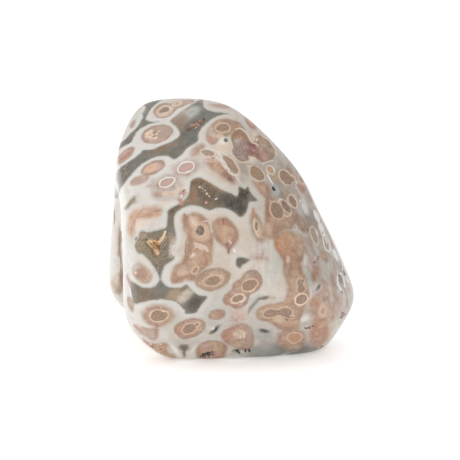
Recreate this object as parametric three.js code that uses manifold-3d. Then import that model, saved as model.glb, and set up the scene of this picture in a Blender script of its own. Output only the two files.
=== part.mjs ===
// A tumbled, polished pebble of ocean jasper that stands upright on its flat worn foot.
// Millimetres. X runs to the right, Y away from the viewer and Z up.
// The origin is on the foot's plane, under the middle of the stone's width and depth.
import * as THREE from "three";
import Module from "manifold-3d";
import { mergeVertices } from "three/addons/utils/BufferGeometryUtils.js";

const manifold = await Module();
manifold.setup();
const { Manifold, Mesh } = manifold;

// Driving dimensions
const HEART_HEIGHT = 23.4; // height above the foot of the point that facets and pockets are measured from
const CUSHION_SHARPNESS = 11; // how crisply the facets of the front run into one another
const EDGE_SHARPNESS = 20; // how crisply all the other facets meet, higher is crisper
const SWELL_HEIGHT = 0.06; // how far each slow swell of the surface rises and falls
const SURFACE_DETAIL = 19; // subdivisions of each face of the icosahedron that becomes the stone
const POCKET_DETAIL = 1; // the same for a pocket, few so that it has flat crystal faces
const NUDGE = 0.03; // the small turn, in radians, between the points that give the slope of the surface

// Directions from the heart: a bearing turns from the front (0) to the right (90), and a rise is the angle
// above the horizon.

// The worn facets. Each is square to its direction, and its reach is its distance from the heart.
const CUSHION = [
  { name: "front", bearing: -6, rise: 15, reach: 17.2 },
  { name: "upper left", bearing: -24, rise: 56, reach: 20.8 },
  { name: "right shoulder", bearing: 49, rise: 32, reach: 16.1 },
  { name: "right flank", bearing: 66, rise: 21, reach: 18 },
  { name: "lower front", bearing: 4, rise: -38, reach: 20.4 },
  { name: "lower right front", bearing: 34, rise: -36, reach: 23.4 },
];
const SIDES = [
  { name: "right slope", bearing: 96, rise: 25, reach: 17.2 },
  { name: "upper right slope", bearing: 102, rise: 44, reach: 17.9 },
  { name: "lower right", bearing: 82, rise: -30, reach: 27.8 },
  { name: "crown", bearing: 160, rise: 78, reach: 25.1 },
  { name: "crown right", bearing: 114, rise: 62, reach: 22.4 },
  { name: "left shoulder", bearing: -95, rise: 22, reach: 26.5 },
  { name: "top left corner", bearing: -100, rise: 44, reach: 31.4 },
  { name: "left front edge", bearing: -70, rise: 0, reach: 22.2 },
  { name: "left", bearing: -93, rise: 4.5, reach: 23.2 },
  { name: "lower left lobe", bearing: -100, rise: -50, reach: 25.9 },
  { name: "lower left front", bearing: -54, rise: -41, reach: 27.7 },
  { name: "back", bearing: 172, rise: 8, reach: 17.5 },
  { name: "upper back", bearing: -168, rise: 48, reach: 26.5 },
  { name: "lower back", bearing: 178, rise: -42, reach: 23.5 },
  { name: "back left", bearing: -132, rise: 2, reach: 24.5 },
  { name: "back right", bearing: 130, rise: -5, reach: 20 },
  { name: "foot", bearing: 0, rise: -90, reach: 24.6 },
];

// Hollows worn into the facets, each a valley along a line between two points that are measured from the heart.
const HOLLOWS = [
  {
    name: "groove behind the left edge",
    from: new THREE.Vector3(-22, -2, 3.6),
    to: new THREE.Vector3(-21, -4, -25.4),
    halfWidth: 4,
    depth: 4,
  },
  {
    name: "saddle in the upper back",
    from: new THREE.Vector3(-6, 17, 17),
    to: new THREE.Vector3(10, 17, 6),
    halfWidth: 6,
    depth: 1.1,
  },
];

// The slow swells of a surface worn by tumbling, each a train of waves across the directions from the heart.
const SWELLS = [
  { waves: new THREE.Vector3(9, 0, 4), phase: 1 },
  { waves: new THREE.Vector3(-7, 8, 0), phase: 0 },
  { waves: new THREE.Vector3(0, 5, 10), phase: 2 },
];

// Open crystal pockets and pits. Each is centred on the surface in its direction, and its length lies along
// the surface, turned up from the horizontal by its tilt.
const POCKETS = [
  { name: "druzy left arm", bearing: -41.4, rise: 2.6, tilt: 140, length: 3.4, width: 1.7, depth: 0.8 },
  { name: "druzy right arm", bearing: -38.6, rise: 4, tilt: 45, length: 3.8, width: 1.6, depth: 0.8 },
  { name: "druzy lower arm", bearing: -39.7, rise: 0.4, tilt: 100, length: 3.2, width: 1.8, depth: 0.9 },
  { name: "slot near the crown", bearing: -63.4, rise: 70.4, tilt: 62, length: 2.6, width: 1, depth: 0.7 },
  { name: "slit in the front", bearing: 16.7, rise: 14.5, tilt: 80, length: 1.8, width: 0.6, depth: 0.4 },
  { name: "pinhole on the right", bearing: 39.9, rise: 39.1, tilt: 70, length: 1.1, width: 0.8, depth: 0.7 },
  { name: "left pit at the foot", bearing: -25.6, rise: -65.3, tilt: 0, length: 2.4, width: 1.1, depth: 0.8 },
  { name: "middle pit at the foot", bearing: 7.3, rise: -67.2, tilt: 10, length: 1.8, width: 0.9, depth: 0.7 },
  { name: "right pit at the foot", bearing: 20.2, rise: -66.3, tilt: -8, length: 1.4, width: 0.9, depth: 0.6 },
];

function towards({ bearing, rise }) {
  const b = THREE.MathUtils.degToRad(bearing);
  const r = THREE.MathUtils.degToRad(rise);
  return new THREE.Vector3(Math.sin(b) * Math.cos(r), -Math.cos(b) * Math.cos(r), Math.sin(r));
}

const planesOf = (facets) => facets.map((facet) => ({ normal: towards(facet), reach: facet.reach }));
const CUSHION_PLANES = planesOf(CUSHION);
const SIDE_PLANES = planesOf(SIDES);

// Sums the facets that a direction can meet, so that the nearest one counts most.
function facing(planes, direction, sharpness) {
  let sum = 0;
  for (const { normal, reach } of planes) {
    sum += Math.max(normal.dot(direction) / reach, 0) ** sharpness;
  }
  return sum;
}

// How far the plain stone reaches from its heart in a direction: a polyhedron whose edges are rounded off.
function reachAlong(direction) {
  const cushion = facing(CUSHION_PLANES, direction, CUSHION_SHARPNESS) ** (1 / CUSHION_SHARPNESS);
  return (cushion ** EDGE_SHARPNESS + facing(SIDE_PLANES, direction, EDGE_SHARPNESS)) ** (-1 / EDGE_SHARPNESS);
}

// How deep the hollows are worn at a point of the plain stone.
function wornDepth(point) {
  const nearest = new THREE.Vector3();
  let depth = 0;
  for (const hollow of HOLLOWS) {
    new THREE.Line3(hollow.from, hollow.to).closestPointToPoint(point, true, nearest);
    depth += hollow.depth * Math.exp(-((point.distanceTo(nearest) / hollow.halfWidth) ** 2));
  }
  return depth;
}

// How far the swells lift the surface in a direction.
function swell(direction) {
  let height = 0;
  for (const { waves, phase } of SWELLS) {
    height += SWELL_HEIGHT * Math.sin(waves.dot(direction) + phase);
  }
  return height;
}

// The point of the stone's surface in a direction, measured from the heart.
function surfacePoint(direction) {
  const reach = reachAlong(direction);
  const plain = direction.clone().multiplyScalar(reach);
  return direction.clone().multiplyScalar(reach - wornDepth(plain) + swell(direction));
}

function solidOf(geometry) {
  geometry.deleteAttribute("normal");
  geometry.deleteAttribute("uv");
  const merged = mergeVertices(geometry);
  return new Manifold(
    new Mesh({
      numProp: 3,
      vertProperties: merged.getAttribute("position").array,
      triVerts: new Uint32Array(merged.index.array),
    }),
  );
}

function tumbledSolid() {
  const geometry = new THREE.IcosahedronGeometry(1, SURFACE_DETAIL);
  const position = geometry.getAttribute("position");
  const direction = new THREE.Vector3();
  for (let i = 0; i < position.count; i++) {
    direction.fromBufferAttribute(position, i).normalize();
    position.setXYZ(i, ...surfacePoint(direction));
  }
  return solidOf(geometry);
}

// The faceted lump that a pocket takes out of the stone.
function pocketSolid(pocket) {
  const direction = towards(pocket);
  const centre = surfacePoint(direction);
  const level = new THREE.Vector3(0, 0, 1).cross(direction).normalize();
  const upward = direction.clone().cross(level);
  const beside = surfacePoint(direction.clone().addScaledVector(level, NUDGE).normalize()).sub(centre);
  const above = surfacePoint(direction.clone().addScaledVector(upward, NUDGE).normalize()).sub(centre);
  const outward = beside.cross(above).normalize();
  const along = level.applyAxisAngle(direction, THREE.MathUtils.degToRad(pocket.tilt));
  along.addScaledVector(outward, -along.dot(outward)).normalize();
  const across = outward.clone().cross(along);
  const place = new THREE.Matrix4().makeBasis(
    along.multiplyScalar(pocket.length / 2),
    across.multiplyScalar(pocket.width / 2),
    outward.multiplyScalar(pocket.depth),
  );
  return solidOf(new THREE.IcosahedronGeometry(1, POCKET_DETAIL).applyMatrix4(place.setPosition(centre)));
}

function geometryOf(solid) {
  const mesh = solid.getMesh();
  const geometry = new THREE.BufferGeometry();
  geometry.setAttribute("position", new THREE.BufferAttribute(mesh.vertProperties, 3));
  geometry.setIndex(new THREE.BufferAttribute(mesh.triVerts, 1));
  return geometry;
}

const whole = tumbledSolid().subtract(Manifold.union(POCKETS.map(pocketSolid)));
const standing = whole.translate([0, 0, HEART_HEIGHT]).trimByPlane([0, 0, 1], 0);

const geometry = geometryOf(standing);
geometry.computeBoundingBox();
const middle = geometry.boundingBox.getCenter(new THREE.Vector3());
geometry.translate(-middle.x, -middle.y, 0);
geometry.computeVertexNormals();

const polishedJasper = new THREE.MeshStandardMaterial({ color: 0xc4a595, roughness: 0.15, metalness: 0 });

const stone = new THREE.Mesh(geometry, polishedJasper);
stone.name = "stone";

const group = new THREE.Group();
group.add(stone);

export default group;
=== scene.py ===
# The looks of a tumbled, polished pebble of ocean jasper that stands upright on its worn foot.
# The stone's form is worked out in millimetres and turned into metres when its mesh is made.
# Places in the photograph are in pixels of its 460 by 460 frame, x to the right and y down.
import itertools
import math

import bpy
import numpy as np
from mathutils import Matrix, Quaternion, Vector, kdtree


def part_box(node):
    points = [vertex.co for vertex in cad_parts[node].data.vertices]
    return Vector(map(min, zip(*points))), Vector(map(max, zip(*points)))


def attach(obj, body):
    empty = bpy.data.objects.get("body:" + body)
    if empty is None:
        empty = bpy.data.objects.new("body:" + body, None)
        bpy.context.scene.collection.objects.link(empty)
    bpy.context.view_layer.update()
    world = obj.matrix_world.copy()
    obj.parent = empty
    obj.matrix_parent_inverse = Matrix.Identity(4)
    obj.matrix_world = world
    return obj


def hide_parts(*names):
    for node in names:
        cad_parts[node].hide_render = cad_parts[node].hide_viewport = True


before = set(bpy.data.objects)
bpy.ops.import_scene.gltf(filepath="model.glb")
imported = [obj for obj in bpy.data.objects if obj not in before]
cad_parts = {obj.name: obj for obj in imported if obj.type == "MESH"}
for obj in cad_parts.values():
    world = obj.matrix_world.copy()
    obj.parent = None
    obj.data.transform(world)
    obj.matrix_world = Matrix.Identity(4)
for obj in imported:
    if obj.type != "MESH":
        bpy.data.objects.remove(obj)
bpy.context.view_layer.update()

MM = 0.001
FAR = 9.0  # a distance in millimetres that stands for nowhere near

# The stone's form, as the part has it
HEART_HEIGHT = 23.4  # height above the foot of the point that facets and pockets are measured from
CUSHION_SHARPNESS = 11  # how crisply the facets of the front run into one another
EDGE_SHARPNESS = 20  # how crisply all the other facets meet
FOOT_SHARPNESS = 90  # how crisply the foot meets the sides
SWELL_HEIGHT = 0.06  # how far each slow swell rises and falls
NUDGE = 0.03  # the small turn between the points that give the slope of the surface
MESH_DETAIL = 98  # subdivisions of each edge of the icosahedron that becomes the stone
FRONT_CROWDING = 0.15  # how much closer together the mesh's points are at the front

# Facets: bearing from the front (0) to the right (90), rise above the horizon, and reach from the heart
CUSHION = [
    ("front", -6, 15, 17.2),
    ("upper left", -24, 56, 20.8),
    ("right shoulder", 49, 32, 16.1),
    ("right flank", 66, 21, 18),
    ("lower front", 4, -38, 20.4),
    ("lower right front", 34, -36, 23.4),
]
SIDES = [
    ("right slope", 96, 25, 17.2),
    ("upper right slope", 102, 44, 17.9),
    ("lower right", 82, -30, 27.8),
    ("crown", 160, 78, 25.1),
    ("crown right", 114, 62, 22.4),
    ("left shoulder", -95, 22, 26.5),
    ("top left corner", -100, 44, 31.4),
    ("left front edge", -70, 0, 22.2),
    ("left", -93, 4.5, 23.2),
    ("lower left lobe", -100, -50, 25.9),
    ("lower left front", -54, -41, 27.7),
    ("back", 172, 8, 17.5),
    ("upper back", -168, 48, 26.5),
    ("lower back", 178, -42, 23.5),
    ("back left", -132, 2, 24.5),
    ("back right", 130, -5, 20),
    ("foot", 0, -90, 24.6),
]

# Hollows worn into the facets: from one point to another, half width and depth
HOLLOWS = [
    ("groove behind the left edge", (-22, -2, 3.6), (-21, -4, -25.4), 4, 4),
    ("saddle in the upper back", (-6, 17, 17), (10, 17, 6), 6, 1.1),
]

# Swells, each a train of waves across the directions from the heart, and its phase
SWELLS = [((9, 0, 4), 1), ((-7, 8, 0), 0), ((0, 5, 10), 2)]

# Open pockets: bearing, rise, tilt, length, width and depth
POCKETS = [
    ("druzy left arm", -41.4, 2.6, 140, 3.4, 1.7, 0.8),
    ("druzy right arm", -38.6, 4, 45, 3.8, 1.6, 0.8),
    ("druzy lower arm", -39.7, 0.4, 100, 3.2, 1.8, 0.9),
    ("slot near the crown", -63.4, 70.4, 62, 2.6, 1, 0.7),
    ("slit in the front", 16.7, 14.5, 80, 1.8, 0.6, 0.4),
    ("pinhole on the right", 39.9, 39.1, 70, 1.1, 0.8, 0.7),
    ("left pit at the foot", -25.6, -65.3, 0, 2.4, 1.1, 0.8),
    ("middle pit at the foot", 7.3, -67.2, 10, 1.8, 0.9, 0.7),
    ("right pit at the foot", 20.2, -66.3, -8, 1.4, 0.9, 0.6),
]

# The crystals that line the pockets, and how the pockets' edges wander
CRYSTAL_SIZE = 0.5
CRYSTAL_INSET = 0.2  # the least way from a crystal's middle to its cell's edge, against the cell
SHORTEST_CRYSTAL = 0.6  # against the tallest
CRYSTAL_SHARE = 0.5  # how much of a pocket's depth they can fill
POCKET_WANDER = 0.22  # against the pocket's size
POCKET_WANDER_SIZE = 0.5

# The camera of the photograph
ELEVATION = math.radians(12)
DISTANCE = 450
PIXEL = 0.19  # millimetres to a pixel where the camera aims
CENTRE_PIXEL = 230
SENSOR = 36  # the width of the camera's sensor
AIM = np.array([-0.12, -0.78, 23.6])
RIGHT = np.array([1, 0, 0])
UP = np.array([0, math.sin(ELEVATION), math.cos(ELEVATION)])
BACK = np.array([0, -math.cos(ELEVATION), math.sin(ELEVATION)])

# How the outlines of the markings wander, in pixels, and the size of the wander's lumps in millimetres
WANDER = 0.45
WANDER_SIZE = 0.9
FINE_WANDER = 0.18
FINE_WANDER_SIZE = 0.4
LUMP_HEIGHT = 0.16  # how far cores and rings bulge, in millimetres
LUMP_SIZE = 0.8
RING_LUMPS = 0.7  # the share of the cores' lumps that the rings round them have
CURVE_STEPS = 4  # straight steps between the corners of an outline
LINE_END = 4  # a line ends where the horizon closes it up by this many of its widths

# How markings end at the horizon, where the surface turns away from the camera
MARGIN = 9  # how far past a marking, in pixels, its edge is worked out
FACING_LIMIT = -0.45  # points that face away more than this take no marking from the photograph
HORIZON_FADE = 4  # how fast round marks and stains end
HORIZON_TAPER = 30  # how fast drawn outlines close up
TAPER_LUMPS = 0.5
TAPER_LUMP_SIZE = 1.8
BEHIND_SHARE = 0.8  # how deep behind its spot an ellipse reaches, as a share of its size
BEHIND_DEPTH = 0.9  # and how many millimetres more
GENTLEST_SLOPE = 0.35  # the least that the distance to an ellipse rises, against its size
FEWEST_PIXELS = 1.2  # the least pixels to a millimetre across an outline

# Stains with the painted light and shade among them, streaks, and the brighter ground round the windows
STAIN_LUMPS = 0.18  # how unevenly the stains end
STAIN_LUMP_SIZE = 2.2
STREAK_WIDTH = 2.2  # in pixels, like the next
STREAK_LENGTH = 26
STREAK_LIGHT = 2  # how much the streaks lighten and darken, against their strength
STREAK_TINT = 5  # how much they tint, against their strength
TINT_LIMIT = 0.7
HALO_STRENGTH = 0.4
HALO_REACH = (1.5, 0.3)  # millimetres from a window where the brightness starts and is full
HALO_FADE = (224, 170)  # the pixels between which it starts on the way to the left

# The floor and the lights
FLOOR_RADIUS = 1.5  # in metres
FLOOR_SIDES = 96
FLOOR_WHITE = (0.93, 0.93, 0.93, 1)
FLOOR_GLOW = 0.35
STUDIO_LIGHT = 0.82  # the strength of the plain light
BRIGHT_SIDE = (-0.62, -0.55, 0.56)
BRIGHT_SPREAD = (0.1, 0.95)  # how near a direction is to the side where the gain starts and is full
BRIGHT_GAIN = 0.55
DIM_SIDE = (0.74, -0.64, -0.2)
DIM_SPREAD = (0.1, 0.9)
DIM_LOSS = 0.4
LAMP_SPOT = (-6, -17.8, 24)  # where the lamp's reflection shows on the front
LAMP_AZIMUTH = -11  # where the lamp is, seen from that spot
LAMP_RISE = 19.25
LAMP_DISTANCE = 500
LAMP_SIZE = (9.5, 6.4)
LAMP_TURN = 55  # how far it is rolled about the way to the spot
LAMP_GLARE = 5  # how bright its face is

# How the paints seen in the photograph become the stone's own colours
DAYLIGHT = 1.15  # light on a surface, against what a white one would send back
GLOSS = 0.04  # light that the polish adds
OWN_COLOUR_RANGE = (0.004, 0.95)  # no paint is darker or lighter than this

# The polish, the crystals' rougher faces and the stone's refraction
POLISH = 0.02
CRYSTAL_ROUGHNESS = 0.35
CHALCEDONY_IOR = 1.54

# The material's noises: size of the lumps in millimetres, detail and distortion
NOISES = {
    "fine": (0.5, 3, 0),
    "tiny": (0.16, 2, 0),
    "broad": (2.2, 3, 0),
    "clouds": (1.1, 2, 0),
    "mottle": (1.3, 2, 0.6),
    "cloth": (0.34, 3, 0.5),
    "sand": (0.2, 1, 0),
}
WOBBLE = 0.22  # how far the fine noise moves the edges of the markings

# Clouds inside the markings: the noise, its values where a cloud starts and is full, strength and paint
GROUND_CLOUDS = [("broad", 0.4, 0.7, 0.3, "lilac"), ("clouds", 0.45, 0.75, 0.35, "white")]
WINDOW_CLOUDS = [
    ("mottle", 0.5, 0.7, 0.35, "beige glass"),
    ("broad", 0.45, 0.7, 0.35, "dark olive"),
    ("fine", 0.5, 0.75, 0.3, "olive brown"),
]
BODY_CLOUDS = [
    ("broad", 0.45, 0.7, 0.22, "rose"),
    ("clouds", 0.5, 0.75, 0.35, "peach"),
    ("mottle", 0.48, 0.7, 0.42, "sienna"),
    ("mottle", 0.48, 0.34, 0.3, "pale peach"),
]
INNER_CLOUDS = [("clouds", 0.4, 0.7, 0.4, "tan pink")]
CORE_CLOUDS = [("fine", 0.4, 0.75, 0.3, "core cloud")]
FINE_CLOUDS = [("tiny", 0.3, 0.8, 0.14, "grain shade"), ("cloth", 0.5, 0.75, 0.1, "cloth shade")]

# Tones that only the material lays on, as the stone's own colours
OWN_TONES = {
    "core rim": (0.2, 0.15, 0.12),
    "core cloud": (0.5, 0.36, 0.28),
    "crystal shade": (0.17, 0.11, 0.075),
    "crystal light": (0.72, 0.5, 0.36),
    "grain shade": (0.3, 0.25, 0.21),
    "cloth shade": (0.28, 0.2, 0.15),
    "pale grain": (0.85, 0.8, 0.75),
}

# Paints, as eight-bit colours, chosen and adjusted where single spots of a render were off
PAINTS = {
    "white": (228, 223, 216),
    "bright white": (246, 244, 238),
    "blue white": (210, 213, 208),
    "cream": (214, 200, 184),
    "warm cream": (236, 213, 190),
    "lilac": (206, 197, 191),
    "grey tan": (176, 163, 150),
    "pale grey": (190, 180, 170),
    "olive": (132, 128, 118),
    "slate": (120, 121, 116),
    "dark olive": (80, 78, 68),
    "olive brown": (122, 105, 86),
    "brown glass": (146, 116, 90),
    "amber glass": (172, 148, 118),
    "beige glass": (158, 141, 127),
    "cloud": (184, 188, 184),
    "halo blue": (204, 206, 200),
    "glow": (152, 134, 112),
    "rose": (172, 128, 113),
    "rind": (160, 142, 126),
    "pink": (200, 170, 160),
    "salmon": (196, 150, 130),
    "tan pink": (186, 160, 146),
    "rose tan": (176, 143, 126),
    "tan": (184, 156, 134),
    "brown": (158, 129, 110),
    "red brown": (148, 112, 98),
    "rust": (150, 92, 66),
    "orange": (188, 138, 108),
    "peach": (216, 186, 162),
    "pale peach": (228, 204, 182),
    "core": (159, 129, 106),
    "grey core": (153, 131, 111),
    "pink core": (194, 164, 153),
    "purple": (146, 98, 98),
    "mauve": (158, 138, 134),
    "violet grey": (154, 138, 144),
    "plum": (140, 80, 90),
    "gold": (232, 186, 138),
    "black": (40, 36, 32),
    "dark brown": (92, 72, 58),
    "clay": (172, 134, 109),
    "sienna": (160, 116, 90),
    "apricot": (208, 166, 130),
    "ochre": (186, 164, 132),
    "brick": (176, 126, 110),
    # lighter than the crystals' own orange: partly painted sheen of the glossy crystals
    "copper": (255, 216, 166),
    "green white": (212, 214, 204),
    "lilac white": (218, 208, 204),
    "ring white": (238, 230, 220),
    "ring tan": (214, 176, 146),
    "dusky pink": (204, 168, 158),
    "light peach": (242, 212, 186),
    "warm peach": (232, 192, 164),
    "moss": (150, 138, 112),
    "wine": (138, 82, 84),
    "stone tan": (166, 145, 128),
    "tangerine": (210, 144, 102),
    "soft orange": (200, 152, 120),
    "pale stone": (200, 196, 188),
    "umber": (98, 80, 58),
    "bronze": (156, 110, 74),
    "deep olive": (60, 60, 52),
    "flint": (108, 103, 96),
    "pale pink": (224, 202, 192),
}

# The coats of markings, from the lowest to the highest
COATS = ["ground", "window", "body", "inner", "ring", "core", "fleck", "glint"]

# Clear windows of grey chalcedony between the white halos: the outline of each
WINDOWS = {
    "upper": [
        (112, 192), (115, 178), (119, 169), (129, 161.6), (140, 154), (143, 150.5), (152.5, 149.5),
        (164, 145), (174, 140.4), (180, 134.5), (177, 128), (171.5, 122.5), (171, 120), (178, 114.3),
        (189, 106.5), (202, 99), (203.3, 106.5), (210, 111.3), (222, 112.5), (229.8, 113.8), (221.7, 114.6),
        (213.6, 118), (204.4, 125.4), (199, 132.5), (197, 141.5), (188.4, 147.2), (181.5, 154.5),
        (174.5, 159.3), (167, 156), (155.3, 157), (144.4, 162.2), (135.2, 170.2), (127.1, 180), (121, 188),
        (117, 198),
    ],
    "corner": [
        (145.5, 101), (163.5, 98), (157, 103), (152.4, 106.5), (148.4, 112.8), (145.5, 119), (150.1, 121.4),
        (158.7, 122), (152.4, 122.8), (142.6, 127.1), (134.6, 134.6), (131, 142), (123.1, 146.7),
        (116, 152), (120, 144.4), (128.3, 136.3), (137.5, 127.1), (142.1, 119.7), (143.2, 116),
        (142.4, 112.8), (144.6, 110.6), (145.4, 107), (144, 104.4),
    ],
    "centre": [
        (190.3, 182.5), (192.6, 179.6), (197.1, 177.9), (201.7, 178.4), (210.9, 183.6), (220.1, 188.8),
        (228.7, 192.8), (237.6, 195.6), (238.6, 187), (242.2, 187.5), (245.1, 188.8), (248, 186.7),
        (251, 193.2), (257.1, 200.6), (249.7, 201.4), (247.4, 207), (245, 214), (239.9, 217.2),
        (233.5, 211.8), (225, 208.2), (217.8, 207.8), (210, 210.2), (201.7, 207.2), (193.7, 205.4),
        (185.7, 206.6), (177.1, 211.7), (173.6, 220), (175.3, 231.3), (176, 240), (171, 247), (170, 253),
        (174, 258.5), (165.4, 264.9), (161.4, 274), (160.6, 282), (158, 273), (152.8, 265), (144.2, 255),
        (137.9, 252.8), (135, 245.5), (138.3, 238), (141, 231.5), (148.6, 232.3), (158.4, 230),
        (166, 227.2), (168, 217), (168.6, 209.5), (176.5, 205.4), (184.5, 200.3), (189, 193.5), (190, 187),
    ],
    "lower": [
        (160.6, 279), (163.5, 283.5), (170, 287.2), (180, 287.6), (186.6, 285), (191, 289.5),
        (198.7, 295.3), (207, 296.6), (201, 305.3), (195.3, 312.7), (185.5, 313.6), (184.5, 309.5),
        (179.2, 304.1), (172, 300.3), (157.4, 299), (145.9, 301), (134, 303.6), (132.2, 298), (130.4, 287),
        (129.6, 282), (131, 280.6), (135.6, 283.8), (144.2, 287.8), (154, 286.7), (158.8, 281.5),
    ],
    "small right": [
        (236, 264), (238.3, 257.4), (246.4, 258.2), (250, 260.2), (242.3, 265.1), (239.5, 268.2),
    ],
}

# Orb bodies: paint, centre, half length, half width, tilt up to the right, and softness of the edge
BODIES = [
    ("tan pink", 157, 134, 16.2, 9, 15, 0.2),
    ("tan pink", 133, 124, 5, 2.2, 60, 0.3),
    ("dusky pink", 124.9, 155.9, 12.8, 4.3, 42, 0.25),
    ("tan pink", 153, 167.9, 13.2, 6.3, 24, 0.2),
    ("dusky pink", 139.4, 180.1, 10.3, 4.2, 22, 0.3),
    ("lilac", 186.5, 168.5, 14, 8.5, 22, 0.6),
    ("lilac", 167, 184, 13.5, 9.5, 20, 0.6),
    ("pink", 161, 194, 9, 4.5, 5, 0.5),
    ("tan pink", 197.6, 150, 8.5, 4.2, 38, 0.5),
    ("tan", 209.5, 156.3, 6.5, 2.8, -12, 0.3),
    ("pink", 221, 106, 10, 1.8, -8, 0.5),
    ("salmon", 250.6, 123.6, 8, 3, -46, 0.3),
    ("stone tan", 230.5, 163.8, 11.6, 3.9, -53, 0.2),
    ("tan", 263, 186.5, 7, 5, -50, 0.4),
    ("ochre", 274.6, 176, 6, 3.4, -50, 0.6),
    ("grey tan", 256.6, 227.2, 15, 6, -78, 0.4),
    ("tan", 261.5, 237, 6, 3.6, 10, 0.5),
    ("grey core", 302, 224, 11, 4.8, -60, 0.35),
    ("rose tan", 217.1, 314.5, 9.2, 5.3, 12, 0.25),
    ("pale pink", 238.2, 317, 7.5, 6.5, 0, 0.9),
    ("tan", 314.2, 306, 6, 9, 0, 0.6),
    ("rose tan", 323, 297, 6.5, 4.5, -20, 0.6),
    ("orange", 320, 331, 14, 7.4, 76, 0.9),
    ("tan pink", 213.6, 229, 8, 3, 85, 0.5),
    ("rose tan", 289.5, 170.5, 4.5, 2.2, -50, 0.35),
    ("clay", 301.5, 187.6, 5.6, 3, -52, 0.3),
    ("pink", 298.5, 195.2, 4, 1.6, -65, 0.4),
    ("tan", 287.4, 195, 6, 2.4, -65, 0.5),
    ("tan pink", 309.5, 198.5, 4.4, 2, -62, 0.5),
    ("pink", 319.6, 212.6, 5, 1.5, -64, 0.4),
    ("pink", 309.4, 242, 6.5, 1.8, -80, 0.5),
    ("tan", 324.5, 256, 7, 3.2, -60, 0.5),
    ("clay", 314.8, 273.6, 8, 3.6, 82, 0.5),
    ("pink", 325, 287, 9, 3, -75, 0.7),
    ("tan", 333.5, 285, 12, 2.4, -80, 0.8),
    ("pink", 348.3, 287, 6, 1.5, -80, 0.5),
    ("tan", 333, 312, 9, 3, 80, 0.8),
    ("pink", 338.4, 302, 8, 2.4, -84, 0.8),
    ("salmon", 182.4, 193.6, 4.2, 3, 40, 0.4),
    ("salmon", 180.4, 201.4, 4, 2.2, -50, 0.4),
    ("tan", 262.4, 255.4, 6, 1.4, 84, 0.4),
    ("pink", 259.5, 258, 8, 2, -5, 0.8),
    ("moss", 130.6, 304, 8.4, 3, -74, 0.35),
    ("rind", 129, 281, 7, 1.6, -72, 0.3),
    ("green white", 325.6, 271.4, 9, 4, -82, 0.7),
]

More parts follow.
